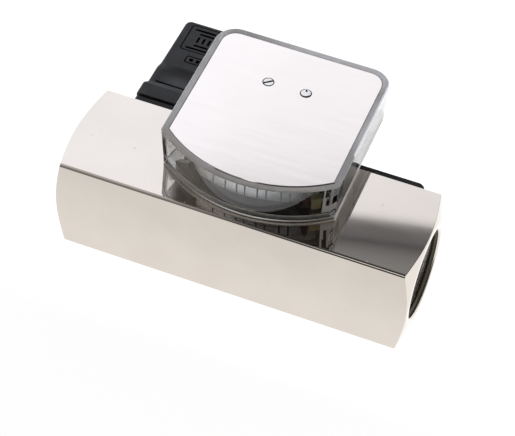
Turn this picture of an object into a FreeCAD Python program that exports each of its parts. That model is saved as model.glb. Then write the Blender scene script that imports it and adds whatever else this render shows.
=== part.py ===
import FreeCAD, Part
import math
import os

# Variable area flow meter: a square bar with a threaded port at each end, a
# sprung piston with a ring magnet inside, a clear indicator housing with a
# pointer on top and a switch head with a connector plug on the back face.
# Frame: origin at the middle of the bar's underside, +X along the flow bore
# towards the inlet, +Y towards the back, +Z up. Lengths in millimetres.

V = FreeCAD.Vector

# ---- bar -------------------------------------------------------------------
BAR_L = 132.0             # length of the bar
BAR_W = 40.0              # width and height of the square section
BAR_EDGE = 0.35           # broken long edges
AX_Z = BAR_W / 2          # height of the bore axis
END_RING_R = 19.3         # outer radius of the flat end ring
END_CONE = 0.29           # axial fall of the turned end per mm of radius

# ---- port thread (parallel pipe thread, 1 inch) ------------------------------
THR_PITCH = 2.309
THR_MINOR_R = 30.291 / 2       # inlet, at the small limit of the thread's tolerance
THR_MINOR_OUT_R = 30.611 / 2   # outlet, in the middle of the tolerance
THR_MAJOR_R = 33.249 / 2
THR_DEPTH = 17.5          # depth of the threaded counterbore
MOUTH_R = 16.9            # countersink at the mouth

# ---- bore between the ports --------------------------------------------------
BORE_R = 14.8
LIP_R = 13.0              # shoulder at the outlet end
LIP_X0, LIP_X1 = -48.5, -44.0
RING_X0, RING_X1 = 36.1, 37.5   # groove for the snap ring
RING_GROOVE_R = 15.9

# ---- measuring insert --------------------------------------------------------
STACK_R = 14.76           # outside radius of sleeve and spiders
SLEEVE_X0, SLEEVE_X1 = -37.97, 30.0
THROAT_R = 10.75
CONE_R = 13.0             # wide end of the metering cone
SPIDER_T = 6.0
SPIDER_RING_R = 12.9
SPIDER_HUB_R = 4.5
SPIDER_LEG = 2.4
ROD_R = 2.0

# ---- piston ------------------------------------------------------------------
STROKE = 25.2             # full travel, towards -X
DISC_R = 10.4
DISC_X0, DISC_X1 = 23.0, 26.0
HUB_R = 7.5
HUB_X0 = 13.4
PISTON_BORE_R = 2.06
MAG_R0, MAG_R1 = 3.15, 6.85
MAG_X0, MAG_X1 = 14.6, 22.6
CAP_T = 1.2

# ---- return spring -----------------------------------------------------------
SPRING_R = 4.4            # mean radius
SPRING_WIRE = 0.5         # wire radius
SPRING_TURNS = 9.5

# ---- indicator housing (clear tray) --------------------------------------------
TRAY_XL, TRAY_XR = -31.7, 33.9
TRAY_YB = 52.3            # back wall
TRAY_RC = 8.0             # back corner radius
PIV_X, PIV_Y = 1.0, 30.5  # pointer axis
TRAY_R = 49.75            # radius of the curved front
TRAY_CX, TRAY_CY = 1.7, 32.35   # centre of the curved front
TRAY_Z0, TRAY_FLOOR, TRAY_Z1 = 40.5, 42.5, 57.0
LIP_Z, LIP_IN = 40.02, 2.3      # lip around the underside, beside the gasket
TRAY_DRAFT = 0.8          # the foot is smaller than the rim
RIM = 2.35                # width of the rim around the lid
LEDGE = 2.95              # inset of the wall under the lid
LEDGE_FLOOR = 3.55        # inset of the wall at the floor
GASKET_T = 0.5

# ---- lid and its fasteners -----------------------------------------------------
LID_T = 1.5
LID_GAP = 0.1
SCREW_XY = (-6.05, 31.0)
STUD_XY = (8.05, 31.0)
FAST_R = 1.82              # heads, in a counterbore with a dark gap around them
FAST_HOLE_R = 2.14
SLOT_A = 38.6             # direction of the screw slot
POST_R = 2.6
BRIDGE_T = 1.5
BASE_SCREWS = ((-19.0, -3.0), (26.2, 0.6), (-20.0, 15.6), (22.0, 15.6))

# ---- pointer -------------------------------------------------------------------
ARBOR_R = 0.75
BUSH_R0, BUSH_R1 = 0.80, 2.0
REST_A = 30.0             # pointer direction at zero flow, from -Y towards +X
ARM_Z0, ARM_Z1 = 46.6, 47.8
STEP_R = 37.0             # the arm steps down here to pass under the scale
TIP_Z0, TIP_Z1 = 44.8, 45.8
TIP_R = 43.4
FLAG_R0 = 42.6            # the flag stands up in front of the scale

# ---- scale ---------------------------------------------------------------------
BAND_R0, BAND_R1 = 41.2, 41.8
BAND_Z0, BAND_Z1 = 46.4, 54.8
BAND_A0, BAND_A1 = -24.0, 36.6   # the ends lie behind the tabs that carry them
TAB_R0, TAB_R1 = 41.82, 43.4
PLATE_R = 25.5            # round front edge of the plate under the scale
PLATE_XY = (-1.1, 10.8)
CAR_T = 1.0

# ---- switch head -----------------------------------------------------------------
SW_X0, SW_X1 = -55.7, 56.1
SW_Y0, SW_Y1 = 20.1, 27.7
SW_Z0, SW_Z1 = 6.0, 33.6
SLIDE = 5.0               # setting travel each way
SLOT_X = (-21.5, 43.0)
SLOT_R = 2.2
CBORE_R = 4.2
CBORE_Y = 22.5
CAV = (-8.5, 28.5, 11.0, 29.0)       # x0, x1, z0, z1 of the switch chamber
COV = (-11.8, 31.8, 8.0, 32.0)       # cover plate
COV_T = 1.5

# ---- connector -------------------------------------------------------------------
CN_X, CN_Z = -41.9, 20.0  # axis of the connector, along Y
PLUG_Y0, PLUG_Y1 = 28.75, 72.4
SKIRT_W = 28.0
MAIN_W = 25.0
GLAND_Y = 58.5
GLAND_R = 4.0             # cable passage of the seal


# ---- helpers ---------------------------------------------------------------------
def box(x0, x1, y0, y1, z0, z1):
    return Part.makeBox(x1 - x0, y1 - y0, z1 - z0, V(x0, y0, z0))


def cyl(r, p, d, h):
    return Part.makeCylinder(r, h, V(*p), V(*d))


def cylz(r, x, y, z0, z1):
    return cyl(r, (x, y, z0), (0, 0, 1), z1 - z0)


def cyly(r, x, z, y0, y1):
    return cyl(r, (x, y0, z), (0, 1, 0), y1 - y0)


def cylx(r, x0, x1, y=0.0, z=AX_Z):
    return cyl(r, (x0, y, z), (1, 0, 0), x1 - x0)


def turned(pts, y=0.0, z=AX_Z):
    """Solid of revolution about the X line through (y, z); pts are (x, r)."""
    vs = [V(x, y, z + r) for x, r in pts]
    face = Part.Face(Part.makePolygon(vs + [vs[0]]))
    return face.revolve(V(0, y, z), V(1, 0, 0), 360.0)


def turned_z(pts, x, y):
    """Solid of revolution about the Z line through (x, y); pts are (r, z)."""
    vs = [V(x + r, y, z) for r, z in pts]
    face = Part.Face(Part.makePolygon(vs + [vs[0]]))
    return face.revolve(V(x, y, 0), V(0, 0, 1), 360.0)


def prism(pts, z0, z1):
    vs = [V(x, y, z0) for x, y in pts]
    return Part.Face(Part.makePolygon(vs + [vs[0]])).extrude(V(0, 0, z1 - z0))


def polar(r, a):
    """Point at radius r from the pointer axis, angle a from -Y towards +X."""
    t = math.radians(a)
    return PIV_X + r * math.sin(t), PIV_Y - r * math.cos(t)


def sector(r0, r1, a0, a1, z0, z1):
    am = (a0 + a1) / 2
    p = lambda r, a: V(*polar(r, a), z0)
    w = Part.Wire([
        Part.LineSegment(p(r0, a0), p(r1, a0)).toShape(),
        Part.Arc(p(r1, a0), p(r1, am), p(r1, a1)).toShape(),
        Part.LineSegment(p(r1, a1), p(r0, a1)).toShape(),
        Part.Arc(p(r0, a1), p(r0, am), p(r0, a0)).toShape()])
    return Part.Face(w).extrude(V(0, 0, z1 - z0))


def tray_wire(inset, z):
    """Outline of the tray: straight sides and back, round back corners, arc front."""
    xl, xr, yb = TRAY_XL + inset, TRAY_XR - inset, TRAY_YB - inset
    rc, r = TRAY_RC - inset, TRAY_R - inset
    k = rc * (1 - math.sqrt(0.5))
    yl = TRAY_CY - math.sqrt(r * r - (xl - TRAY_CX) ** 2)
    yr = TRAY_CY - math.sqrt(r * r - (xr - TRAY_CX) ** 2)
    p = lambda x, y: V(x, y, z)
    return Part.Wire([
        Part.LineSegment(p(xl, yl), p(xl, yb - rc)).toShape(),
        Part.Arc(p(xl, yb - rc), p(xl + k, yb - k), p(xl + rc, yb)).toShape(),
        Part.LineSegment(p(xl + rc, yb), p(xr - rc, yb)).toShape(),
        Part.Arc(p(xr - rc, yb), p(xr - k, yb - k), p(xr, yb - rc)).toShape(),
        Part.LineSegment(p(xr, yb - rc), p(xr, yr)).toShape(),
        Part.Arc(p(xr, yr), p(TRAY_CX, TRAY_CY - r), p(xl, yl)).toShape()])


def tray_loft(i0, z0, i1, z1):
    return Part.makeLoft([tray_wire(i0, z0), tray_wire(i1, z1)], True, True)


def tray_slab(inset, z0, z1):
    return Part.Face(tray_wire(inset, z0)).extrude(V(0, 0, z1 - z0))


def slot_y(x, z, half, r, y0, y1):
    """Obround prism along Y, long side along X."""
    s = box(x - half, x + half, y0, y1, z - r, z + r)
    s = s.fuse(cyly(r, x - half, z, y0, y1)).fuse(cyly(r, x + half, z, y0, y1))
    return s.removeSplitter()


def round_box_y(x0, x1, z0, z1, r, y0, y1):
    """Prism along Y whose X-Z section is a rectangle with rounded corners."""
    k = r * (1 - math.sqrt(0.5))
    p = lambda x, z: V(x, y0, z)
    w = Part.Wire([
        Part.LineSegment(p(x0 + r, z0), p(x1 - r, z0)).toShape(),
        Part.Arc(p(x1 - r, z0), p(x1 - k, z0 + k), p(x1, z0 + r)).toShape(),
        Part.LineSegment(p(x1, z0 + r), p(x1, z1 - r)).toShape(),
        Part.Arc(p(x1, z1 - r), p(x1 - k, z1 - k), p(x1 - r, z1)).toShape(),
        Part.LineSegment(p(x1 - r, z1), p(x0 + r, z1)).toShape(),
        Part.Arc(p(x0 + r, z1), p(x0 + k, z1 - k), p(x0, z1 - r)).toShape(),
        Part.LineSegment(p(x0, z1 - r), p(x0, z0 + r)).toShape(),
        Part.Arc(p(x0, z0 + r), p(x0 + k, z0 + k), p(x0 + r, z0)).toShape()])
    return Part.Face(w), w


nodes = {}


def keep(name, *shapes):
    solids = []
    for s in shapes:
        solids.extend(s.Solids)
    nodes[name] = solids[0] if len(solids) == 1 else Part.makeCompound(solids)


# ---- bar ---------------------------------------------------------------------------
h, c = BAR_W / 2, BAR_EDGE
sec = [(-h + c, 0), (h - c, 0), (h, c), (h, BAR_W - c), (h - c, BAR_W),
       (-h + c, BAR_W), (-h, BAR_W - c), (-h, c)]
vs = [V(-BAR_L / 2, y, z) for y, z in sec]
bar = Part.Face(Part.makePolygon(vs + [vs[0]])).extrude(V(BAR_L, 0, 0))
xe = BAR_L / 2
fall = 4.0
env_r = END_RING_R + fall / END_CONE
bar = bar.common(turned([(-xe, 0), (-xe, END_RING_R), (-xe + fall, env_r),
                         (xe - fall, env_r), (xe, END_RING_R), (xe, 0)]))


def thread_profile(x_mouth, sign, minor):
    """Bore wall from the mouth inwards as (x, r): countersink, ring grooves, end."""
    pts = [(x_mouth, 0), (x_mouth, MOUTH_R)]
    x = MOUTH_R - minor
    pts.append((x_mouth - sign * x, minor))
    land, flat = 0.38, 0.30
    half = (THR_PITCH - land) / 2
    x += land
    n = int((THR_DEPTH - x - 0.6) // THR_PITCH)
    for i in range(n):
        pts.append((x_mouth - sign * x, minor))
        pts.append((x_mouth - sign * (x + half - flat / 2), THR_MAJOR_R))
        pts.append((x_mouth - sign * (x + half + flat / 2), THR_MAJOR_R))
        pts.append((x_mouth - sign * (x + 2 * half), minor))
        x += THR_PITCH
    last = THR_DEPTH
    pts.append((x_mouth - sign * last, minor))
    pts.append((x_mouth - sign * last, 0))
    return pts


bar = bar.cut(turned(thread_profile(xe, 1, THR_MINOR_R)))
bar = bar.cut(turned(thread_profile(-xe, -1, THR_MINOR_OUT_R)))
bar = bar.cut(turned([(-xe + 1, 0), (-xe + 1, LIP_R), (LIP_X1, LIP_R), (LIP_X1, BORE_R),
                      (RING_X0, BORE_R), (RING_X0, RING_GROOVE_R),
                      (RING_X1, RING_GROOVE_R), (RING_X1, BORE_R),
                      (xe - 1, BORE_R), (xe - 1, 0)]))
for x, y in BASE_SCREWS:                      # tapped holes under the tray
    bar = bar.cut(cylz(1.52, x, y, 35.8, BAR_W + 1))
for x in SLOT_X:                              # tapped holes for the switch head
    bar = bar.cut(cyly(1.98, x, AX_Z, 16.2, h + 1))
keep("meter_body", bar)

# ---- measuring insert -----------------------------------------------------------------
ORX0, ORX1, OR_BOT = 25.6, 27.6, 13.3
sleeve = turned([(SLEEVE_X0, STACK_R), (SLEEVE_X0, CONE_R), (-8.0, CONE_R),
                 (22.0, THROAT_R), (27.4, THROAT_R), (SLEEVE_X1, SPIDER_RING_R),
                 (SLEEVE_X1, STACK_R), (ORX1, STACK_R), (ORX1, OR_BOT),
                 (ORX0, OR_BOT), (ORX0, STACK_R)])
keep("measuring_sleeve", sleeve)
oy, ow = (OR_BOT + 0.02 + BORE_R - 0.02) / 2, (BORE_R - OR_BOT - 0.04) / 2
ol = 0.85
xm = (ORX0 + ORX1) / 2
k = 0.35
keep("sleeve_o_ring", turned([(xm - ol + k, oy - ow), (xm + ol - k, oy - ow), (xm + ol, oy - ow + k),
                              (xm + ol, oy + ow - k), (xm + ol - k, oy + ow), (xm - ol + k, oy + ow),
                              (xm - ol, oy + ow - k), (xm - ol, oy - ow + k)]))


def spider(x0, nose):
    """Ring, three legs and a hub with a short rounded nose on the side of the flow."""
    x1 = x0 + SPIDER_T
    s = turned([(x0, SPIDER_RING_R), (x1, SPIDER_RING_R), (x1, STACK_R), (x0, STACK_R)])
    hx0, hx1 = x0, x1
    if nose > 0:
        hub = turned([(hx0, 0), (hx0, SPIDER_HUB_R), (hx1 - 1.0, SPIDER_HUB_R),
                      (hx1 + 1.5, 3.2), (hx1 + 3.0, 1.4), (hx1 + 3.4, 0)])
    else:
        hub = turned([(hx0 - 3.4, 0), (hx0 - 3.0, 1.4), (hx0 - 1.5, 3.2),
                      (hx0 + 1.0, SPIDER_HUB_R), (hx1, SPIDER_HUB_R), (hx1, 0)])
    s = s.fuse(hub)
    for a in (90, 210, 330):
        leg = box(x0 + 0.8, x1 - 0.8, -SPIDER_LEG / 2, SPIDER_LEG / 2, AX_Z + 2.5, AX_Z + 13.5)
        leg.rotate(V(0, 0, AX_Z), V(1, 0, 0), a - 90)
        s = s.fuse(leg)
    return s.removeSplitter()


rod_x0, rod_x1 = LIP_X1 + 0.6, 30.0 + SPIDER_T - 0.6
rod_hole = cylx(ROD_R + 0.01, rod_x0 - 0.02, rod_x1 + 0.02)
keep("inlet_spider", spider(SLEEVE_X1 + 0.02, 1).cut(rod_hole))
keep("outlet_spider", spider(LIP_X1 + 0.01, -1).cut(rod_hole))
keep("guide_rod", turned([(rod_x0, 0), (rod_x0, ROD_R - 0.3), (rod_x0 + 0.3, ROD_R),
                          (rod_x1 - 0.3, ROD_R), (rod_x1, ROD_R - 0.3), (rod_x1, 0)]))

# snap ring with an open gap at the bottom and two lugs with plier holes
rx0, rx1 = RING_X0 + 0.15, RING_X1 - 0.1
ring = turned([(rx0, 13.6), (rx1, 13.6), (rx1, 15.75), (rx0, 15.75)])
ring = ring.cut(box(rx0 - 1, rx1 + 1, -3.2, 3.2, AX_Z - 20, AX_Z - 8))
for s in (-1, 1):
    lug = cylx(2.0, rx0, rx1, s * 4.6, AX_Z - 12.4).common(cylx(15.7, rx0, rx1))
    ring = ring.fuse(lug)
ring = ring.removeSplitter()
for s in (-1, 1):
    ring = ring.cut(cylx(0.8, rx0 - 1, rx1 + 1, s * 4.6, AX_Z - 12.3))
keep("retaining_ring", ring)

# ---- piston -----------------------------------------------------------------------------
piston = turned([(HUB_X0, PISTON_BORE_R), (HUB_X0, MAG_R0 - 0.05), (MAG_X1 + 0.05, MAG_R0 - 0.05),
                 (MAG_X1 + 0.05, MAG_R1 + 0.05), (HUB_X0, MAG_R1 + 0.05), (HUB_X0, HUB_R),
                 (DISC_X0 - 1.0, HUB_R), (DISC_X0, DISC_R - 0.6), (DISC_X0 + 0.6, DISC_R),
                 (DISC_X1 - 1.2, DISC_R), (DISC_X1 - 0.6, DISC_R - 0.6),
                 (DISC_X1 + 1.4, 4.0), (DISC_X1 + 1.4, PISTON_BORE_R)])
keep("piston", piston)
keep("piston_magnet", turned([(MAG_X0, MAG_R0), (MAG_X1, MAG_R0), (MAG_X1, MAG_R1), (MAG_X0, MAG_R1)]))
keep("piston_cap", turned([(HUB_X0 - CAP_T, PISTON_BORE_R), (HUB_X0 - CAP_T, HUB_R - 0.4),
                           (HUB_X0 - CAP_T + 0.4, HUB_R), (HUB_X0 - 0.01, HUB_R),
                           (HUB_X0 - 0.01, MAG_R1), (MAG_X0 - 0.02, MAG_R1),
                           (MAG_X0 - 0.02, MAG_R0), (HUB_X0 - 0.01, MAG_R0),
                           (HUB_X0 - 0.01, PISTON_BORE_R)]))

# ---- return spring, between the outlet spider and the piston cap ---------------------------
sp0 = LIP_X1 + 0.01 + SPIDER_T + SPRING_WIRE + 0.05
sp1 = HUB_X0 - CAP_T - SPRING_WIRE - 0.35
pitch = (sp1 - sp0) / SPRING_TURNS
helix = Part.makeHelix(pitch, sp1 - sp0, SPRING_R)
prof = Part.Wire([Part.makeCircle(SPRING_WIRE, V(SPRING_R, 0, 0), V(0, 1, pitch / (2 * math.pi * SPRING_R)))])
coil = Part.Wire(helix).makePipeShell([prof], True, True)
coil.rotate(V(0, 0, 0), V(0, 1, 0), 90)
coil.translate(V(sp0, 0, AX_Z))
keep("return_spring", coil)
wire_len = SPRING_TURNS * math.hypot(2 * math.pi * SPRING_R, pitch)
print("spring volume", round(coil.Volume, 2), "section x length",
      round(math.pi * SPRING_WIRE ** 2 * wire_len, 2))

# ---- indicator gasket and tray ----------------------------------------------------------------
gasket = tray_slab(LIP_IN + 0.2, BAR_W, BAR_W + GASKET_T - 0.01)
gasket = gasket.common(box(-60, 60, -h + 0.6, h - 0.6, BAR_W, BAR_W + 1))
# its front edge stays hidden under the round plate of the scale carrier
gasket = gasket.common(cylz(PLATE_R - 0.8, *PLATE_XY, BAR_W, BAR_W + 1).fuse(box(-60, 60, PLATE_XY[1], h, BAR_W, BAR_W + 1)))
for x, y in BASE_SCREWS:
    gasket = gasket.cut(cylz(1.7, x, y, BAR_W - 1, BAR_W + 2))
keep("indicator_gasket", gasket)

EDGE = 0.45
tray = tray_loft(TRAY_DRAFT, LIP_Z, 0.03, TRAY_Z1 - EDGE)
tray = tray.fuse(tray_loft(0.03, TRAY_Z1 - EDGE, EDGE, TRAY_Z1))
lid_z0 = TRAY_Z1 - LID_T
tray = tray.cut(tray_loft(LEDGE_FLOOR, TRAY_FLOOR, LEDGE, lid_z0 + 0.01))
tray = tray.cut(tray_slab(RIM, lid_z0, TRAY_Z1 + 1))
tray = tray.cut(tray_slab(LIP_IN, LIP_Z - 1, TRAY_Z0))
boss_z = 45.3
tray = tray.fuse(turned_z([(0, TRAY_FLOOR - 0.5), (4.2, TRAY_FLOOR - 0.5), (4.2, TRAY_FLOOR),
                           (3.3, boss_z), (0, boss_z)], PIV_X, PIV_Y))
tray = tray.removeSplitter()
tray = tray.cut(cylz(BUSH_R1 + 0.02, PIV_X, PIV_Y, 43.0, boss_z + 1))
for x, y in BASE_SCREWS:
    tray = tray.cut(cylz(1.7, x, y, TRAY_Z0 - 1, TRAY_FLOOR + 1))
for x, y in (SCREW_XY, STUD_XY):
    tray = tray.cut(cylz(1.6, x, y, TRAY_Z0 - 1, TRAY_FLOOR + 1))
keep("indicator_housing", tray)

# ---- scale carrier and band --------------------------------------------------------------------
cz1 = TRAY_FLOOR + CAR_T
carrier = cylz(PLATE_R, *PLATE_XY, TRAY_FLOOR + 0.01, cz1).common(box(-60, 60, -60, 12.0, 40, 60))
carrier = carrier.fuse(sector(36.0, TAB_R1, -36.0, -21.0, TRAY_FLOOR + 0.01, cz1))
carrier = carrier.fuse(sector(36.0, TAB_R1, 32.8, 44.5, TRAY_FLOOR + 0.01, cz1))
carrier = carrier.common(tray_slab(LEDGE_FLOOR + 0.25, TRAY_FLOOR - 1, cz1 + 1))
# left tab with two slanted edges, right tab that is also the zero stop
am = -28.0
cx, cy = polar(42.6, am)
tx, ty = math.cos(math.radians(am)), math.sin(math.radians(am))
ox, oy = math.sin(math.radians(am)), -math.cos(math.radians(am))
vs = [V(cx + tx * t - 3 * ox, cy + ty * t - 3 * oy, z)
      for t, z in ((-9.0, 42.0), (5.2, 42.0), (5.2, 43.6), (2.2, 47.6), (0.4, 49.6), (-6.0, 45.2), (-9.0, 43.7))]
slant = Part.Face(Part.makePolygon(vs + [vs[0]])).extrude(V(6 * ox, 6 * oy, 0))
carrier = carrier.fuse(sector(TAB_R0, TAB_R1, -36.0, -19.0, TRAY_FLOOR + 0.01, 55.0).common(slant))
carrier = carrier.fuse(sector(TAB_R0, TAB_R1, 32.8, 37.2, TRAY_FLOOR + 0.01, 48.3))
carrier = carrier.removeSplitter()
for x, y in BASE_SCREWS[:2]:
    carrier = carrier.cut(cylz(1.7, x, y, TRAY_FLOOR - 1, cz1 + 1))
keep("scale_carrier", carrier)
keep("scale_band", sector(BAND_R0, BAND_R1, BAND_A0, BAND_A1, BAND_Z0, BAND_Z1))


def pan_screw(x, y, z_seat, z_end):
    """Pan head screw with a straight slot."""
    s = turned_z([(0, z_end), (1.1, z_end), (1.5, z_end + 0.4), (1.5, z_seat), (2.75, z_seat),
                  (2.75, z_seat + 1.1), (2.1, z_seat + 1.8), (0, z_seat + 1.8)], x, y)
    return s.cut(box(x - 3, x + 3, y - 0.4, y + 0.4, z_seat + 0.9, z_seat + 2))


keep("indicator_base_screws",
     *[pan_screw(x, y, (cz1 if i < 2 else TRAY_FLOOR) + 0.01, 36.4)
       for i, (x, y) in enumerate(BASE_SCREWS)])

# ---- pillars, bridge, lid and its fasteners ----------------------------------------------------
br_z0 = lid_z0 - BRIDGE_T
posts = []
for x, y in (SCREW_XY, STUD_XY):
    p = turned_z([(0, TRAY_Z0 + 0.02), (1.55, TRAY_Z0 + 0.02), (1.55, TRAY_FLOOR + 0.01),
                  (POST_R, TRAY_FLOOR + 0.01), (POST_R, br_z0 - 0.01), (0, br_z0 - 0.01)], x, y)
    posts.append(p.cut(cylz(1.27, x, y, 46.5, br_z0 + 1)))
keep("lid_posts", *posts)

yb = SCREW_XY[1]
bridge = box(SCREW_XY[0], STUD_XY[0], yb - 3.2, yb + 3.2, br_z0, lid_z0 - 0.02)
for x, y in (SCREW_XY, STUD_XY):
    bridge = bridge.fuse(cylz(3.2, x, y, br_z0, lid_z0 - 0.02))
bridge = bridge.removeSplitter()
for x, y in (SCREW_XY, STUD_XY):
    bridge = bridge.cut(cylz(1.4, x, y, br_z0 - 1, lid_z0 + 1))
bridge = bridge.cut(cylz(BUSH_R1 + 0.02, PIV_X, PIV_Y, br_z0 - 1, lid_z0 + 1))
keep("bearing_bridge", bridge)

keep("upper_bearing", turned_z([(BUSH_R0, 53.0), (2.7, 53.0), (2.7, br_z0 - 0.02), (BUSH_R1, br_z0 - 0.02),
                                (BUSH_R1, lid_z0 - 0.1), (BUSH_R0, lid_z0 - 0.1)], PIV_X, PIV_Y))
keep("lower_bearing", turned_z([(0, 43.02), (BUSH_R1, 43.02), (BUSH_R1, boss_z + 0.2),
                                (BUSH_R0, boss_z + 0.2), (BUSH_R0, 43.5), (0, 43.5)], PIV_X, PIV_Y))

lid = tray_slab(RIM + LID_GAP, lid_z0, TRAY_Z1 - 0.25)
lid = lid.fuse(tray_loft(RIM + LID_GAP, TRAY_Z1 - 0.25, RIM + LID_GAP + 0.25, TRAY_Z1)).removeSplitter()
for x, y in (SCREW_XY, STUD_XY):
    lid = lid.cut(turned_z([(0, lid_z0 - 1), (1.4, lid_z0 - 1), (1.4, TRAY_Z1 - 1.0), (FAST_HOLE_R, TRAY_Z1 - 1.0),
                            (FAST_HOLE_R, TRAY_Z1 + 1), (0, TRAY_Z1 + 1)], x, y))
keep("lid_plate", lid)

zt = TRAY_Z1 + 0.12
x, y = SCREW_XY
screw = turned_z([(0, 48.0), (0.9, 48.0), (1.25, 48.4), (1.25, TRAY_Z1 - 0.99), (FAST_R, TRAY_Z1 - 0.99),
                  (FAST_R, zt - 0.1), (FAST_R - 0.1, zt), (0, zt)], x, y)
cutter = box(x - 3, x + 3, y - 0.36, y + 0.36, TRAY_Z1 - 0.6, zt + 1)
cutter.rotate(V(x, y, 0), V(0, 0, 1), SLOT_A)
keep("lid_screw", screw.cut(cutter))

x, y = STUD_XY
zs = TRAY_Z1 + 0.3
stud = turned_z([(0, 48.0), (0.9, 48.0), (1.25, 48.4), (1.25, TRAY_Z1 - 0.99), (FAST_R, TRAY_Z1 - 0.99),
                 (FAST_R, zs - 0.15), (FAST_R - 0.3, zs), (0, zs)], x, y)
for i in range(12):
    t = 2 * math.pi * (i + 0.5) / 12
    stud = stud.cut(cylz(0.26, x + 1.88 * math.cos(t), y + 1.88 * math.sin(t), TRAY_Z1 - 0.5, zs + 1))
stud = stud.cut(cylz(0.45, x - 0.1, y + 0.95, TRAY_Z1 - 0.9, zs + 1))
keep("lid_stud", stud)

# ---- pointer, drawn along -Y and then turned to its rest direction -----------------------------
arm = prism([(PIV_X - 2.4, PIV_Y), (PIV_X - 3.2, PIV_Y - 26.0), (PIV_X - 3.4, PIV_Y - STEP_R),
             (PIV_X - 2.4, PIV_Y - STEP_R - 1.2), (PIV_X + 2.4, PIV_Y - STEP_R - 1.2),
             (PIV_X + 3.4, PIV_Y - STEP_R), (PIV_X + 3.2, PIV_Y - 26.0), (PIV_X + 2.4, PIV_Y)], ARM_Z0, ARM_Z1)
arm = arm.fuse(box(PIV_X - 2.4, PIV_X + 2.4, PIV_Y - STEP_R - 1.2, PIV_Y - STEP_R, TIP_Z0, ARM_Z1))
arm = arm.fuse(prism([(PIV_X - 2.4, PIV_Y - STEP_R), (PIV_X - 1.7, PIV_Y - TIP_R), (PIV_X + 1.6, PIV_Y - TIP_R),
                      (PIV_X + 2.4, PIV_Y - STEP_R)], TIP_Z0, TIP_Z1))
tail = prism([(PIV_X - 2.4, PIV_Y), (PIV_X + 2.4, PIV_Y), (PIV_X + 2.0, PIV_Y + 12.0),
              (PIV_X - 2.0, PIV_Y + 12.0)], ARM_Z0, ARM_Z1)
ptr = arm.fuse(tail)
ptr = ptr.fuse(cylz(4.2, PIV_X, PIV_Y + 13.5, ARM_Z0, ARM_Z1 + 2.2))
ptr = ptr.fuse(cylz(3.2, PIV_X, PIV_Y, 46.0, 51.0))
vs = [V(PIV_X + x, PIV_Y - TIP_R, z)
      for x, z in ((-1.3, TIP_Z0), (1.3, TIP_Z0), (1.3, 49.0), (0.6, 50.6), (-0.7, 49.2))]
ptr = ptr.fuse(Part.Face(Part.makePolygon(vs + [vs[0]])).extrude(V(0, TIP_R - FLAG_R0, 0)))
ptr = ptr.removeSplitter().cut(cylz(ARBOR_R + 0.01, PIV_X, PIV_Y, 40, 60))
ptr.rotate(V(PIV_X, PIV_Y, 0), V(0, 0, 1), REST_A)
keep("pointer", ptr)
keep("pivot_arbor", turned_z([(0, 43.55), (ARBOR_R - 0.3, 43.55), (ARBOR_R, 43.9), (ARBOR_R, 54.9),
                              (ARBOR_R - 0.3, 55.2), (0, 55.2)], PIV_X, PIV_Y))
mag = box(PIV_X - 3.0, PIV_X + 3.0, PIV_Y - STEP_R + 0.1, PIV_Y - 28.2, 44.6, ARM_Z0 - 0.01)
mag = mag.makeFillet(0.4, [e for e in mag.Edges if abs(e.Vertexes[0].Z - e.Vertexes[1].Z) > 1])
mag.rotate(V(PIV_X, PIV_Y, 0), V(0, 0, 1), REST_A)
keep("follower_magnet", mag)

# ---- switch housing ------------------------------------------------------------------------------
rr = 3.0
kk = rr * (1 - math.sqrt(0.5))
p = lambda x, y: V(x, y, SW_Z0)
w = Part.Wire([
    Part.LineSegment(p(SW_X0, SW_Y0), p(SW_X1, SW_Y0)).toShape(),
    Part.LineSegment(p(SW_X1, SW_Y0), p(SW_X1, SW_Y1 - rr)).toShape(),
    Part.Arc(p(SW_X1, SW_Y1 - rr), p(SW_X1 - kk, SW_Y1 - kk), p(SW_X1 - rr, SW_Y1)).toShape(),
    Part.LineSegment(p(SW_X1 - rr, SW_Y1), p(SW_X0 + 0.2, SW_Y1)).toShape(),
    Part.LineSegment(p(SW_X0 + 0.2, SW_Y1), p(SW_X0, SW_Y1 - 0.2)).toShape(),
    Part.LineSegment(p(SW_X0, SW_Y1 - 0.2), p(SW_X0, SW_Y0)).toShape()])
sw = Part.Face(w).extrude(V(0, 0, SW_Z1 - SW_Z0))
sw = sw.makeFillet(1.4, [e for e in sw.Edges if all(abs(q.X - SW_X0) < 1e-6 for q in e.Vertexes)
                         and abs(e.Vertexes[0].Z - e.Vertexes[1].Z) < 1e-6])
sw = sw.cut(box(CAV[0], CAV[1], 21.6, SW_Y1 + 1, CAV[2], CAV[3]))
sw = sw.cut(box(COV[0] - 0.1, COV[1] + 0.1, SW_Y1 - COV_T, SW_Y1 + 1, COV[2] - 0.1, COV[3] + 0.1))
for x in SLOT_X:
    sw = sw.cut(slot_y(x, AX_Z, SLIDE, SLOT_R, SW_Y0 - 1, SW_Y1))
    sw = sw.cut(slot_y(x, AX_Z, SLIDE, CBORE_R, CBORE_Y, SW_Y1 + 1))
PK = (-52.6, -31.9, 9.4, 30.6)
sw = sw.cut(box(PK[0], PK[1], 22.0, SW_Y1 + 1, PK[2], PK[3]))
sw = sw.cut(box(PK[1] - 1, CAV[0] + 1, 22.9, 25.5, 26.0, 29.0))     # lead channel
CSC = [(x, z) for x in (-10.1, 30.1) for z in (9.7, 30.3)]
for x, z in CSC:
    sw = sw.cut(cyly(0.92, x, z, 21.5, SW_Y1))
keep("switch_housing", sw)

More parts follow.
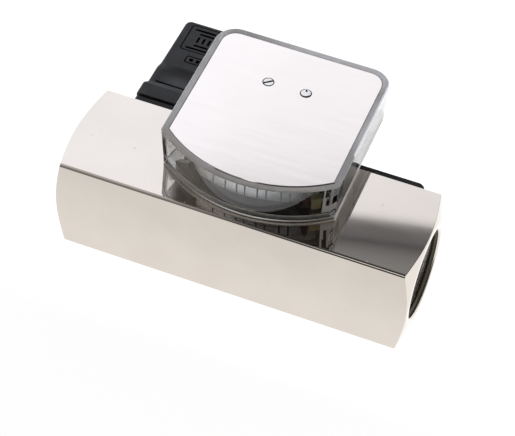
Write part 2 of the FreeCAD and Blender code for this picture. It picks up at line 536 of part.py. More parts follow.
cover = box(COV[0], COV[1], SW_Y1 - COV_T + 0.01, SW_Y1, COV[2], COV[3])
for x, z in CSC:
    cone = Part.makeCone(1.0, 1.6, 1.0, V(x, SW_Y1 - 1.0, z), V(0, 1, 0))
    cover = cover.cut(cyly(1.0, x, z, SW_Y1 - 3, SW_Y1 + 1)).cut(cone)
keep("switch_cover", cover)
scr = []
for x, z in CSC:
    s = cyly(0.9, x, z, 22.0, SW_Y1 - 0.9).fuse(Part.makeCone(0.93, 1.5, 0.95, V(x, SW_Y1 - 1.0, z), V(0, 1, 0)))
    s = s.removeSplitter().cut(box(x - 2, x + 2, SW_Y1 - 0.5, SW_Y1 + 1, z - 0.2, z + 0.2))
    scr.append(s)
keep("switch_cover_screws", *scr)

keep("switch_board", box(-8.2, 28.2, 24.7, 25.9, 11.3, 28.7))
reed = cylx(1.25, 0.0, 18.0, 23.1, AX_Z)
reed = reed.fuse(Part.makeSphere(1.25, V(0, 23.1, AX_Z))).fuse(Part.makeSphere(1.25, V(18.0, 23.1, AX_Z)))
reed = reed.fuse(cylx(0.3, -6.0, 24.0, 23.1, AX_Z))
for x in (-6.0, 24.0):
    reed = reed.fuse(cyly(0.3, x, AX_Z, 23.1, 24.69)).fuse(Part.makeSphere(0.3, V(x, 23.1, AX_Z)))
keep("reed_switch", reed.removeSplitter())
leads = [cylx(0.45, -31.4, -8.0, 24.1, z) for z in (26.8, 28.3)]
keep("switch_leads", *leads)

washers, clamps = [], []
for x in SLOT_X:
    washers.append(cyly(4.0, x, AX_Z, CBORE_Y + 0.05, CBORE_Y + 0.85).cut(cyly(2.1, x, AX_Z, CBORE_Y - 1, CBORE_Y + 2)))
    y0 = CBORE_Y + 0.87
    s = cyly(1.95, x, AX_Z, 16.5, y0 + 1).fuse(cyly(3.4, x, AX_Z, y0, y0 + 2.6)).removeSplitter()
    s = s.cut(box(x - 5, x + 5, y0 + 1.4, y0 + 4, AX_Z - 0.5, AX_Z + 0.5))
    clamps.append(s)
keep("clamp_washers", *washers)
keep("clamp_screws", *clamps)

# ---- receptacle ------------------------------------------------------------------------------------
NOSE = 9.0
carrier = box(PK[0] + 0.1, PK[1] - 0.1, 22.01, SW_Y1, PK[2] + 0.1, PK[3] - 0.1)
carrier = carrier.fuse(box(CN_X - NOSE, CN_X + NOSE, SW_Y1 - 1, 33.0, CN_Z - NOSE, CN_Z + NOSE)).removeSplitter()
BL = [(-5.9, 0.0, 0.45, 3.15), (5.9, 0.0, 0.45, 3.15), (0.0, 6.0, 3.15, 0.45), (0.0, -6.0, 3.15, 0.45)]
blades = []
for dx, dz, hx, hz in BL:
    b = (CN_X + dx - hx, CN_X + dx + hx, CN_Z + dz - hz, CN_Z + dz + hz)
    carrier = carrier.cut(box(b[0] - 0.02, b[1] + 0.02, 23.0, 40, b[2] - 0.02, b[3] + 0.02))
    blades.append(box(b[0], b[1], 23.02, 42.0, b[2], b[3]))
carrier = carrier.cut(cyly(1.48, CN_X, CN_Z, 24.0, 40.0))
for z in (26.8, 28.3):
    carrier = carrier.cut(cylx(0.5, -32.6, -31.0, 24.1, z))
keep("contact_carrier", carrier)
keep("contact_blades", *blades)

gk = box(CN_X - 14.0, CN_X + 14.0, SW_Y1 + 0.01, PLUG_Y0 - 0.01, CN_Z - 11.2, CN_Z + 11.2)
gk = gk.cut(box(CN_X - NOSE - 0.15, CN_X + NOSE + 0.15, SW_Y1 - 1, PLUG_Y0 + 1, CN_Z - NOSE - 0.15, CN_Z + NOSE + 0.15))
keep("connector_gasket", gk)


# ---- plug --------------------------------------------------------------------------------------------
def sq(half, r, y):
    return round_box_y(CN_X - half, CN_X + half, CN_Z - half, CN_Z + half, r, y, y)[1]


def sq_loft(h0, r0, y0, h1, r1, y1):
    return Part.makeLoft([sq(h0, r0, y0), sq(h1, r1, y1)], True, True)


hs, hm = SKIRT_W / 2, MAIN_W / 2
plug = sq_loft(hs, 1.5, PLUG_Y0, hs, 1.5, 34.8)
plug = plug.fuse(sq_loft(hs, 1.5, 34.8, hm + 0.2, 2.0, 36.4))
plug = plug.fuse(sq_loft(hm + 0.2, 2.0, 36.4, hm, 2.0, PLUG_Y1 - 1.5))
plug = plug.fuse(sq_loft(hm, 2.0, PLUG_Y1 - 1.5, hm - 1.5, 1.0, PLUG_Y1))
NK_X0, NK_X1 = CN_X + hm - 2.5, -17.4
plug = plug.fuse(cylx(9.0, NK_X0, NK_X1, GLAND_Y, CN_Z)).removeSplitter()
plug = plug.cut(box(CN_X - 10.4, CN_X + 10.4, PLUG_Y0 - 1, 34.0, CN_Z - 10.4, CN_Z + 10.4))
plug = plug.cut(box(CN_X - 10.1, CN_X + 10.1, 33.9, 67.0, CN_Z - 10.1, CN_Z + 10.1))
plug = plug.cut(cylx(7.0, CN_X, NK_X1 + 1, GLAND_Y, CN_Z))
cb = PLUG_Y1 - 2.6                            # seat of the screw head
plug = plug.cut(cyly(1.8, CN_X, CN_Z, 60, PLUG_Y1 + 1)).cut(cyly(3.3, CN_X, CN_Z, cb, PLUG_Y1 + 1))
keep("plug_housing", plug)

ins = box(CN_X - 9.95, CN_X + 9.95, 34.4, 50.0, CN_Z - 9.95, CN_Z + 9.95)
for dx, dz, hx, hz in BL:
    ins = ins.cut(box(CN_X + dx - hx - 0.1, CN_X + dx + hx + 0.1, 34.0, 43.0,
                      CN_Z + dz - hz - 0.1, CN_Z + dz + hz + 0.1))
ins = ins.cut(cyly(1.75, CN_X, CN_Z, 30, 60))
TS = [(-6.2, -6.2), (6.2, -6.2), (-6.2, 6.2), (6.2, 6.2)]
for dx, dz in TS:
    ins = ins.cut(cyly(1.52, CN_X + dx, CN_Z + dz, 44.0, 60))
keep("plug_insert", ins)
ts = []
for dx, dz in TS:
    x, z = CN_X + dx, CN_Z + dz
    s = cyly(1.5, x, z, 44.4, 50.02).fuse(cyly(2.3, x, z, 50.01, 51.6)).removeSplitter()
    ts.append(s.cut(box(x - 3, x + 3, 50.8, 53, z - 0.3, z + 0.3)))
keep("plug_terminal_screws", *ts)

ps = cyly(1.45, CN_X, CN_Z, 26.0, cb + 0.2).fuse(cyly(3.05, CN_X, CN_Z, cb + 0.02, cb + 2.3)).removeSplitter()
ps = ps.cut(box(CN_X - 4, CN_X + 4, cb + 1.3, cb + 4, CN_Z - 0.4, CN_Z + 0.4))
keep("plug_screw", ps)

# ---- cable gland ---------------------------------------------------------------------------------------
SEAL_X0, SEAL_X1 = -25.0, -17.35
keep("gland_seal", cylx(6.95, SEAL_X0, SEAL_X1, GLAND_Y, CN_Z).cut(cylx(GLAND_R, SEAL_X0 - 1, SEAL_X1 + 1, GLAND_Y, CN_Z)))
keep("gland_washer", cylx(8.6, SEAL_X1 + 0.02, -15.9, GLAND_Y, CN_Z).cut(cylx(4.6, SEAL_X1 - 1, -15, GLAND_Y, CN_Z)))
NUT_AF = 20.0
NUT_X0, NUT_X1 = -25.5, -13.0
hexp = []
for i in range(6):
    t = math.radians(30 + 60 * i)
    hexp.append(V(NUT_X0, GLAND_Y + NUT_AF / math.sqrt(3) * math.cos(t), CN_Z + NUT_AF / math.sqrt(3) * math.sin(t)))
nut = Part.Face(Part.makePolygon(hexp + [hexp[0]])).extrude(V(NUT_X1 - NUT_X0, 0, 0))
nut = nut.common(turned([(NUT_X0, 0), (NUT_X0, 10.6), (NUT_X0 + 1.0, 11.8), (NUT_X1 - 3.0, 11.8),
                         (NUT_X1, 8.6), (NUT_X1, 0)], GLAND_Y, CN_Z))
nut = nut.cut(turned([(NUT_X0 - 1, 0), (NUT_X0 - 1, 9.1), (-15.85, 9.1), (-15.85, 5.0), (NUT_X1 - 0.8, 5.0),
                      (NUT_X1 + 0.2, 6.0), (NUT_X1 + 0.2, 0)], GLAND_Y, CN_Z))
keep("gland_nut", nut)

# ---- write one file per node -----------------------------------------------------------------------------
os.makedirs("parts", exist_ok=True)
for name, shape in nodes.items():
    for s in shape.Solids:
        if not s.isValid() or s.Volume <= 0:
            print("bad solid in", name, s.Volume)
    shape.exportStep("parts/" + name + ".step")
print(len(nodes), "nodes")
for name, shape in nodes.items():
    b = shape.BoundBox
    print("%-24s n=%d vol=%.1f  x %.2f..%.2f y %.2f..%.2f z %.2f..%.2f" % (
        name, len(shape.Solids), sum(s.Volume for s in shape.Solids),
        b.XMin, b.XMax, b.YMin, b.YMax, b.ZMin, b.ZMax))
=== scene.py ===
import math

import bmesh
import bpy
from mathutils import Matrix, Vector


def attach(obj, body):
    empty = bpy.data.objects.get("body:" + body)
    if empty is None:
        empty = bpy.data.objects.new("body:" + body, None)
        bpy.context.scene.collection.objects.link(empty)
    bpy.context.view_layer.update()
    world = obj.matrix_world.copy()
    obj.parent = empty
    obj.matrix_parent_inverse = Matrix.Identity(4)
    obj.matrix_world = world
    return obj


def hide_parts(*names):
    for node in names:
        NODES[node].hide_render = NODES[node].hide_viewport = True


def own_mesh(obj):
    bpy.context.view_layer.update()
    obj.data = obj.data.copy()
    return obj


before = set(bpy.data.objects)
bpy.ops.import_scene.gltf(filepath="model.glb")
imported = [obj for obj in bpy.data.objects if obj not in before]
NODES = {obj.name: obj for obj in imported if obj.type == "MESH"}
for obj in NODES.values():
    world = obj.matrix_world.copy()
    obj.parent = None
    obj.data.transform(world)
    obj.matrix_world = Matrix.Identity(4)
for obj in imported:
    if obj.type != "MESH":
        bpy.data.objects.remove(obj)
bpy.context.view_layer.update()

MM = 0.001
TAU = 2 * math.pi

# ---- sizes of the part, in millimetres -------------------------------------------
BAR_L, BAR_H = 132.0, 20.0          # bar length, half width of its square section
AX_Z = 20.0                         # height of the bore axis
END_RING_R, END_CONE = 19.3, 0.29
PITCH, MAJOR_R = 2.309, 16.6245
MINOR_IN, MINOR_OUT = 15.1455, 15.3055
THR_DEPTH, MOUTH_R = 17.5, 16.9
BORE_R, LIP_R = 14.8, 13.0
TRAY_XL, TRAY_XR, TRAY_YB, TRAY_RC, TRAY_R = -31.7, 33.9, 52.3, 8.0, 49.75
TRAY_C = (1.7, 32.35)               # centre of the curved front
PIV = (1.0, 30.5)
BAND_R, BAND_Z0, BAND_Z1, TICK_Z1 = 41.8, 46.4, 54.8, 52.0
CN_X, CN_Z = -41.9, 20.0
PLUG_Y0, PLUG_Y1 = 28.75, 72.4
GLAND_Y = 58.5


# ---- node helpers -----------------------------------------------------------------
def add(nt, kind, inputs=None, **props):
    n = nt.nodes.new(kind)
    for k, v in props.items():
        setattr(n, k, v)
    for k, v in (inputs or {}).items():
        if isinstance(v, bpy.types.NodeSocket):
            nt.links.new(v, n.inputs[k])
        else:
            n.inputs[k].default_value = v
    return n


def material(name):
    m = bpy.data.materials.new(name)
    m.use_nodes = True
    nt = m.node_tree
    nt.nodes.clear()
    out = add(nt, "ShaderNodeOutputMaterial")
    b = add(nt, "ShaderNodeBsdfPrincipled")
    nt.links.new(b.outputs[0], out.inputs[0])
    co = add(nt, "ShaderNodeTexCoord").outputs["Object"]
    return m, nt, b, co


def noise(nt, co, scale, detail=3.0, rough=0.5, stretch=None):
    if stretch:
        co = add(nt, "ShaderNodeMapping", {"Vector": co, "Scale": stretch}).outputs[0]
    return add(nt, "ShaderNodeTexNoise", {"Vector": co, "Scale": scale, "Detail": detail, "Roughness": rough}).outputs[0]


def span(nt, fac, a, b, c, d, kind="LINEAR"):
    return add(nt, "ShaderNodeMapRange", {0: fac, 1: a, 2: b, 3: c, 4: d}, interpolation_type=kind).outputs[0]


def calc(nt, op, a, b=0.0, c=0.0):
    return add(nt, "ShaderNodeMath", {0: a, 1: b, 2: c}, operation=op).outputs[0]


def blend(nt, fac, a, b):
    n = add(nt, "ShaderNodeMix", data_type="RGBA")
    for i, v in ((0, fac), (6, a), (7, b)):
        if isinstance(v, bpy.types.NodeSocket):
            nt.links.new(v, n.inputs[i])
        else:
            n.inputs[i].default_value = v if i == 0 else (*v, 1.0)
    return n.outputs[2]


def ramp(nt, fac, stops):
    """Grey value that follows a list of (position, value)."""
    n = add(nt, "ShaderNodeValToRGB", {0: fac})
    e = n.color_ramp.elements
    e[0].position, e[0].color = stops[0][0], (*[stops[0][1]] * 3, 1)
    e[1].position, e[1].color = stops[-1][0], (*[stops[-1][1]] * 3, 1)
    for pos, v in stops[1:-1]:
        e.new(pos).color = (v, v, v, 1)
    return n.outputs[0]


def bump(nt, height, distance, normal=None):
    ins = {"Height": height, "Distance": distance, "Strength": 1.0}
    if normal is not None:
        ins["Normal"] = normal
    return add(nt, "ShaderNodeBump", ins).outputs[0]


def tone(nt, co, scale, low, high, detail=4.0, stretch=None, a=0.35, b=0.65):
    """Colour that drifts between two tones."""
    return blend(nt, span(nt, noise(nt, co, scale, detail, 0.55, stretch), a, b, 0, 1), low, high)


def metal(name, low, high, rough, grain=(1, 1, 1), grain_scale=900.0, wave=0.0, fine=0.0):
    """Metal with drifting tint, uneven polish and a faint surface wave."""
    m, nt, b, co = material(name)
    nt.links.new(tone(nt, co, 60.0, low, high), b.inputs["Base Color"])
    b.inputs["Metallic"].default_value = 1.0
    g = noise(nt, co, grain_scale, 6.0, 0.6, grain)
    nt.links.new(span(nt, g, 0.3, 0.7, rough[0], rough[1]), b.inputs["Roughness"])
    if wave or fine:
        n = None
        if wave:
            n = bump(nt, noise(nt, co, 55.0, 1.0, 0.4), wave)
        if fine:
            n = bump(nt, g, fine, n)
        nt.links.new(n, b.inputs["Normal"])
    return m


def plastic(name, low, high, rough, grain=3500.0, depth=6e-6, patch=90.0, gloss=0.3):
    """Moulded plastic with a fine eroded texture."""
    m, nt, b, co = material(name)
    nt.links.new(tone(nt, co, patch, low, high, 5.0), b.inputs["Base Color"])
    g = noise(nt, co, grain, 3.0, 0.6)
    nt.links.new(span(nt, noise(nt, co, patch * 3, 4.0), 0.3, 0.7, rough[0], rough[1]), b.inputs["Roughness"])
    nt.links.new(bump(nt, g, depth), b.inputs["Normal"])
    b.inputs["IOR"].default_value = 1.5
    b.inputs["Specular IOR Level"].default_value = gloss
    return m


# ---- materials ----------------------------------------------------------------------
def make_nickel(name, turned=False):
    m, nt, b, co = material(name)
    nt.links.new(tone(nt, co, 45.0, (0.645, 0.592, 0.535), (0.675, 0.622, 0.562)), b.inputs["Base Color"])
    b.inputs["Metallic"].default_value = 1.0
    haze = span(nt, noise(nt, co, 260.0, 6.0, 0.65, (0.18, 1.0, 1.0)), 0.35, 0.75, 0.016, 0.034)
    fleck = span(nt, noise(nt, co, 620.0, 1.0, 0.4), 0.795, 0.81, 0.0, 0.4)
    nt.links.new(calc(nt, "MAXIMUM", haze, fleck), b.inputs["Roughness"])
    n = bump(nt, noise(nt, co, 38.0, 1.0, 0.3, (0.5, 1.0, 1.0)), 3e-6)
    if turned:
        p = add(nt, "ShaderNodeSeparateXYZ", {0: co})
        y, z = p.outputs[1], calc(nt, "SUBTRACT", p.outputs[2], AX_Z * MM)
        r = calc(nt, "SQRT", calc(nt, "ADD", calc(nt, "MULTIPLY", y, y), calc(nt, "MULTIPLY", z, z)))
        rings = calc(nt, "SINE", calc(nt, "MULTIPLY", r, TAU / 0.00022))
        rr = add(nt, "ShaderNodeCombineXYZ", {0: calc(nt, "MULTIPLY", r, 1.0)}).outputs[0]
        n = bump(nt, calc(nt, "ADD", rings, noise(nt, rr, 2500.0, 4.0)), 1.2e-6, n)
    nt.links.new(n, b.inputs["Normal"])
    return m


M = {}
M["nickel"] = make_nickel("nickel_polished")
M["nickel_turned"] = make_nickel("nickel_turned", True)


def make_lid():
    """Polished on top; the sides, holes and underside are painted a dull olive-brown as shade."""
    m, nt, b, co = material("lid_polished")
    up = span(nt, add(nt, "ShaderNodeSeparateXYZ", {0: co}).outputs[2], 0.05668, 0.05672, 0, 1)
    bright = tone(nt, co, 30.0, (0.775, 0.727, 0.690), (0.800, 0.752, 0.715))
    # painted shade: everything below the polished top is dark olive-brown
    underside_shade = tone(nt, co, 120.0, (0.085, 0.075, 0.055), (0.120, 0.105, 0.078))
    nt.links.new(blend(nt, up, underside_shade, bright), b.inputs["Base Color"])
    nt.links.new(up, b.inputs["Metallic"])
    haze = noise(nt, co, 420.0, 6.0, 0.6, (0.10, 1.0, 1.0))
    shine = span(nt, haze, 0.3, 0.7, 0.10, 0.13)
    nt.links.new(calc(nt, "MAXIMUM", shine, span(nt, up, 0, 1, 0.5, 0)), b.inputs["Roughness"])
    nt.links.new(bump(nt, noise(nt, co, 30.0, 1.0, 0.3), 1e-6), b.inputs["Normal"])
    return m


M["lid"] = make_lid()
M["brass"] = metal("brass_turned", (0.70, 0.52, 0.24), (0.77, 0.59, 0.30), (0.16, 0.28), (0.2, 1, 1))
M["steel"] = metal("steel_bright", (0.60, 0.60, 0.59), (0.68, 0.68, 0.67), (0.14, 0.26))


def make_fastener():
    """Bright head; the slot and flutes are painted dark inside as shade."""
    m, nt, b, co = material("steel_head")
    up = span(nt, add(nt, "ShaderNodeSeparateXYZ", {0: co}).outputs[2], 0.05698, 0.05702, 0, 1)
    bright = tone(nt, co, 60.0, (0.78, 0.755, 0.735), (0.86, 0.835, 0.815))
    # painted shade in the slot and flutes
    recess_shade = tone(nt, co, 60.0, (0.020, 0.019, 0.017), (0.035, 0.033, 0.030))
    nt.links.new(blend(nt, up, recess_shade, bright), b.inputs["Base Color"])
    nt.links.new(up, b.inputs["Metallic"])
    nt.links.new(span(nt, noise(nt, co, 900.0, 5.0), 0.3, 0.7, 0.16, 0.28), b.inputs["Roughness"])
    return m


M["fastener"] = make_fastener()
M["spring"] = metal("spring_wire", (0.42, 0.42, 0.43), (0.52, 0.52, 0.53), (0.22, 0.34))
M["contact"] = metal("contact_tinned", (0.66, 0.63, 0.57), (0.74, 0.72, 0.66), (0.20, 0.32))
M["magnet"] = metal("magnet_sintered", (0.05, 0.05, 0.055), (0.08, 0.08, 0.085), (0.45, 0.6), fine=6e-6)
M["rubber"] = plastic("rubber_black", (0.005, 0.005, 0.005), (0.008, 0.008, 0.008), (0.7, 0.85), 2200.0, 8e-6, gloss=0.15)


def make_bore():
    """Dull threads: dark at the mouth and bare brass-brown behind it, with one bright turn painted as a highlight and a
    faint lighter band painted over the shaded groove near the mouth.
    """
    m, nt, b, co = material("bore_dull")
    x = calc(nt, "ABSOLUTE", add(nt, "ShaderNodeSeparateXYZ", {0: co}).outputs[0])
    mouth = tone(nt, co, 90.0, (0.026, 0.022, 0.013), (0.044, 0.037, 0.022), 5.0)
    bare = tone(nt, co, 90.0, (0.34, 0.29, 0.19), (0.44, 0.38, 0.26), 5.0)
    # painted highlight on one thread turn
    highlight_tone = tone(nt, co, 90.0, (0.82, 0.78, 0.76), (0.90, 0.86, 0.84), 5.0)
    turn = calc(nt, "MULTIPLY", span(nt, x, 0.0622, 0.0624, 0, 1), span(nt, x, 0.0631, 0.0633, 1, 0))
    # painted light lifting the shaded groove near the mouth
    painted_lift = calc(nt, "MULTIPLY", span(nt, x, 0.0631, 0.0634, 0, 0.16), span(nt, x, 0.0646, 0.0651, 1, 0))
    wall = blend(nt, calc(nt, "MAXIMUM", painted_lift, span(nt, x, 0.0605, 0.0620, 1, 0)), mouth, bare)
    nt.links.new(blend(nt, turn, wall, highlight_tone), b.inputs["Base Color"])
    nt.links.new(span(nt, noise(nt, co, 270.0, 4.0), 0.3, 0.7, 0.45, 0.60), b.inputs["Roughness"])
    nt.links.new(bump(nt, noise(nt, co, 700.0, 3.0, 0.6), 4e-6), b.inputs["Normal"])
    b.inputs["IOR"].default_value = 1.5
    b.inputs["Specular IOR Level"].default_value = 0.2
    return m


M["bore"] = make_bore()
M["gasket"] = plastic("gasket_olive", (0.045, 0.042, 0.034), (0.065, 0.061, 0.050), (0.6, 0.75), 1800.0, 8e-6)
M["black"] = plastic("plastic_black", (0.009, 0.009, 0.010), (0.014, 0.014, 0.015), (0.45, 0.58), gloss=0.25)


def make_plug_plastic():
    """Moulded black; the grooves and the notch in the two broad faces are painted dark as shade, with less sheen."""
    m, nt, b, co = material("plastic_plug")
    p = add(nt, "ShaderNodeSeparateXYZ", {0: co})
    w = calc(nt, "ABSOLUTE", calc(nt, "SUBTRACT", p.outputs[2], CN_Z * MM))
    u = calc(nt, "ABSOLUTE", calc(nt, "SUBTRACT", p.outputs[0], CN_X * MM))
    y = p.outputs[1]
    grip = calc(nt, "MULTIPLY", calc(nt, "GREATER_THAN", y, 0.0505), calc(nt, "LESS_THAN", w, 0.01252))
    notch = calc(nt, "MULTIPLY", calc(nt, "GREATER_THAN", y, 0.03685), calc(nt, "LESS_THAN", w, 0.01195))
    # painted shade in the grooves and the notch
    recess_shade = calc(nt, "MAXIMUM", grip, calc(nt, "MULTIPLY", notch, calc(nt, "LESS_THAN", y, 0.0382)))
    recess_shade = calc(nt, "MULTIPLY", recess_shade, calc(nt, "MULTIPLY", calc(nt, "GREATER_THAN", w, 0.0105), calc(nt, "LESS_THAN", u, 0.0103)))
    recess_shade = calc(nt, "MULTIPLY", recess_shade, calc(nt, "LESS_THAN", y, 0.0715))
    recess_shade = calc(nt, "MULTIPLY", recess_shade, calc(nt, "GREATER_THAN", calc(nt, "ABSOLUTE", calc(nt, "SUBTRACT", y, 0.0574)), 0.0004))
    face = tone(nt, co, 90.0, (0.021, 0.021, 0.024), (0.029, 0.029, 0.032), 5.0)
    dark = tone(nt, co, 90.0, (0.0025, 0.0025, 0.003), (0.004, 0.004, 0.0045), 5.0)
    nt.links.new(blend(nt, recess_shade, face, dark), b.inputs["Base Color"])
    nt.links.new(span(nt, noise(nt, co, 270.0, 4.0), 0.3, 0.7, 0.46, 0.60), b.inputs["Roughness"])
    nt.links.new(bump(nt, noise(nt, co, 3000.0, 3.0, 0.6), 9e-6), b.inputs["Normal"])
    # less sheen in the grooves, part of the painted shade
    nt.links.new(span(nt, recess_shade, 0, 1, 0.38, 0.05), b.inputs["Specular IOR Level"])
    b.inputs["IOR"].default_value = 1.5
    return m


M["plug"] = make_plug_plastic()
M["board"] = plastic("laminate_green", (0.02, 0.09, 0.04), (0.03, 0.13, 0.06), (0.3, 0.45))
M["lead"] = plastic("insulation_red", (0.30, 0.02, 0.02), (0.40, 0.03, 0.03), (0.4, 0.5))


def make_passivated():
    """Dull olive sheet; the flat plate on the floor is darker and greyer than the raised tabs. Painted shade darkens
    the left tab and the right of the plate, and painted light brightens the right tab and the left of the plate.
    """
    m, nt, b, co = material("steel_passivated")
    x, _, z = add(nt, "ShaderNodeSeparateXYZ", {0: co}).outputs
    # painted shade on the left tab, painted light on the right tab
    dark = tone(nt, co, 160.0, (0.050, 0.045, 0.030), (0.085, 0.077, 0.052), 6.0)
    pale = tone(nt, co, 160.0, (0.38, 0.325, 0.16), (0.50, 0.44, 0.23), 6.0)
    olive = blend(nt, span(nt, x, -0.002, 0.002, 0, 1), dark, pale)
    # painted light on the left of the plate, painted shade on its right
    near = tone(nt, co, 160.0, (0.095, 0.088, 0.082), (0.135, 0.126, 0.118), 6.0)
    far = tone(nt, co, 160.0, (0.045, 0.042, 0.040), (0.065, 0.061, 0.057), 6.0)
    grey = blend(nt, span(nt, x, -0.012, 0.012, 0, 1, "SMOOTHSTEP"), near, far)
    nt.links.new(blend(nt, span(nt, z, 0.04352, 0.0436, 0, 1), grey, olive), b.inputs["Base Color"])
    b.inputs["Metallic"].default_value = 0.35
    nt.links.new(span(nt, noise(nt, co, 700.0, 5.0), 0.3, 0.7, 0.40, 0.55), b.inputs["Roughness"])
    nt.links.new(bump(nt, noise(nt, co, 1500.0, 3.0), 4e-6), b.inputs["Normal"])
    return m


M["passivated"] = make_passivated()


def make_clear(name, low, high, rough, wave):
    m, nt, b, co = material(name)
    x = add(nt, "ShaderNodeSeparateXYZ", {0: co}).outputs[0]
    # painted light: clearer and lighter on the left, greyer on the right as painted shade
    lit_clear = tone(nt, co, 80.0, (0.89, 0.89, 0.885), (0.93, 0.93, 0.925))
    nt.links.new(blend(nt, span(nt, x, -0.016, 0.014, 0, 1, "SMOOTHSTEP"), lit_clear, tone(nt, co, 80.0, low, high)), b.inputs["Base Color"])
    b.inputs["Transmission Weight"].default_value = 1.0
    b.inputs["IOR"].default_value = 1.49
    nt.links.new(span(nt, noise(nt, co, 500.0, 5.0, 0.6), 0.35, 0.75, *rough), b.inputs["Roughness"])
    nt.links.new(bump(nt, noise(nt, co, 70.0, 2.0, 0.4), wave), b.inputs["Normal"])
    return m


M["clear"] = make_clear("acrylic_clear", (0.74, 0.745, 0.745), (0.78, 0.785, 0.785), (0.008, 0.03), 8e-6)


def make_rim():
    """Milled edge of the clear tray: whitish and dull; painted light makes it lightest along the left side and the back
    and near white at the back right corner, and painted shade dims the right side.
    """
    m, nt, b, co = material("acrylic_milled")
    x, y, _ = add(nt, "ShaderNodeSeparateXYZ", {0: co}).outputs
    # painted highlight at the back right corner
    far = span(nt, calc(nt, "ADD", x, y), 0.070, 0.082, 0, 1, "SMOOTHSTEP")
    left = calc(nt, "MULTIPLY", span(nt, x, -0.0290, -0.0270, 0.85, 0), span(nt, y, -0.004, 0.002, 0, 1))
    back = calc(nt, "MULTIPLY", span(nt, y, 0.0485, 0.0500, 0, 1), span(nt, x, -0.020, 0.002, 0, 1, "SMOOTHSTEP"))
    # painted shade along the right side
    right = calc(nt, "MULTIPLY", span(nt, x, 0.0300, 0.0315, 0, 1), span(nt, y, 0.038, 0.046, 1, 0, "SMOOTHSTEP"))
    right = calc(nt, "MULTIPLY", right, span(nt, y, 0.002, 0.008, 0, 1))
    # painted light along the left side and the back
    pale = tone(nt, co, 140.0, (0.84, 0.83, 0.835), (0.96, 0.95, 0.955), 6.0)
    dim = tone(nt, co, 140.0, (0.53, 0.523, 0.520), (0.64, 0.632, 0.628), 6.0)
    warm = tone(nt, co, 140.0, (0.60, 0.565, 0.53), (0.72, 0.685, 0.645), 6.0)
    cool = tone(nt, co, 140.0, (0.60, 0.592, 0.588), (0.72, 0.712, 0.706), 6.0)
    dull = blend(nt, span(nt, y, -0.008, 0.002, 0, 1, "SMOOTHSTEP"), warm, cool)
    dull = blend(nt, calc(nt, "MAXIMUM", left, back), dull, pale)
    nt.links.new(blend(nt, far, blend(nt, right, dull, dim), (0.87, 0.87, 0.88)), b.inputs["Base Color"])
    nt.links.new(span(nt, calc(nt, "MAXIMUM", back, far), 0, 1, 0.3, 0.12), b.inputs["Transmission Weight"])
    b.inputs["IOR"].default_value = 1.49
    nt.links.new(span(nt, noise(nt, co, 500.0, 5.0, 0.6), 0.35, 0.75, 0.42, 0.55), b.inputs["Roughness"])
    nt.links.new(bump(nt, noise(nt, co, 900.0, 3.0), 3e-6), b.inputs["Normal"])
    return m


M["frosted"] = make_rim()
# painted highlight: the foot band of the clear tray is a pale metal so it shows bright lines
M["ring"] = metal("acrylic_edge_highlight", (0.46, 0.445, 0.425), (0.62, 0.60, 0.575), (0.24, 0.36), (1, 1, 1), 500.0)
M["glint"] = metal("acrylic_glint", (0.80, 0.80, 0.805), (0.90, 0.90, 0.905), (0.25, 0.40), (1, 1, 1), 500.0)
# painted highlight: pale plastic for light streaks and lines inside the clear tray
M["under"] = plastic("acrylic_under", (0.68, 0.65, 0.61), (0.80, 0.77, 0.73), (0.5, 0.6), 1500.0, 4e-6, 200.0, 0.3)


def make_haze():
    """Hazed floor of the tray, painted lighter towards the left corner as painted light."""
    m, nt, b, co = material("acrylic_hazed")
    x = add(nt, "ShaderNodeSeparateXYZ", {0: co}).outputs[0]
    # painted light towards the left corner
    pale = tone(nt, co, 200.0, (0.66, 0.64, 0.60), (0.80, 0.78, 0.74))
    dull = tone(nt, co, 200.0, (0.40, 0.382, 0.36), (0.52, 0.497, 0.47))
    nt.links.new(blend(nt, span(nt, x, -0.022, -0.010, 0, 1, "SMOOTHSTEP"), pale, dull), b.inputs["Base Color"])
    b.inputs["Metallic"].default_value = 1.0
    nt.links.new(span(nt, noise(nt, co, 600.0, 6.0, 0.6), 0.3, 0.7, 0.12, 0.22), b.inputs["Roughness"])
    return m


M["haze"] = make_haze()
# painted shade in the gaps under the lid's front right edge and under the tray's foot
M["seam"] = plastic("seam_dark", (0.030, 0.027, 0.024), (0.050, 0.046, 0.042), (0.5, 0.65), 2500.0, 3e-6)


def make_glass():
    m, nt, b, co = material("glass_capsule")
    nt.links.new(tone(nt, co, 300.0, (0.72, 0.86, 0.78), (0.80, 0.92, 0.85)), b.inputs["Base Color"])
    b.inputs["Transmission Weight"].default_value = 0.8
    b.inputs["IOR"].default_value = 1.5
    nt.links.new(span(nt, noise(nt, co, 900.0), 0.3, 0.7, 0.03, 0.08), b.inputs["Roughness"])
    return m


M["glass"] = make_glass()


def make_scale_metal():
    """Satin light sheet, part metal and part enamel, painted lighter on the left and darker on the right as painted
    light and shade.
    """
    m, nt, b, co = material("scale_sheet")
    x = add(nt, "ShaderNodeSeparateXYZ", {0: co}).outputs[0]
    # painted light on the left, painted shade on the right
    warm = tone(nt, co, 220.0, (0.86, 0.85, 0.83), (0.94, 0.93, 0.91), 5.0)
    cool = tone(nt, co, 220.0, (0.58, 0.60, 0.62), (0.66, 0.68, 0.70), 5.0)
    nt.links.new(blend(nt, span(nt, x, -0.011, 0.002, 0, 1, "SMOOTHSTEP"), warm, cool), b.inputs["Base Color"])
    b.inputs["Metallic"].default_value = 0.85
    nt.links.new(span(nt, noise(nt, co, 700.0), 0.3, 0.7, 0.20, 0.27), b.inputs["Roughness"])
    return m


M["white"] = make_scale_metal()
M["ink"] = plastic("print_ink", (0.010, 0.010, 0.012), (0.018, 0.018, 0.02), (0.5, 0.65), 4000.0, 1e-6)


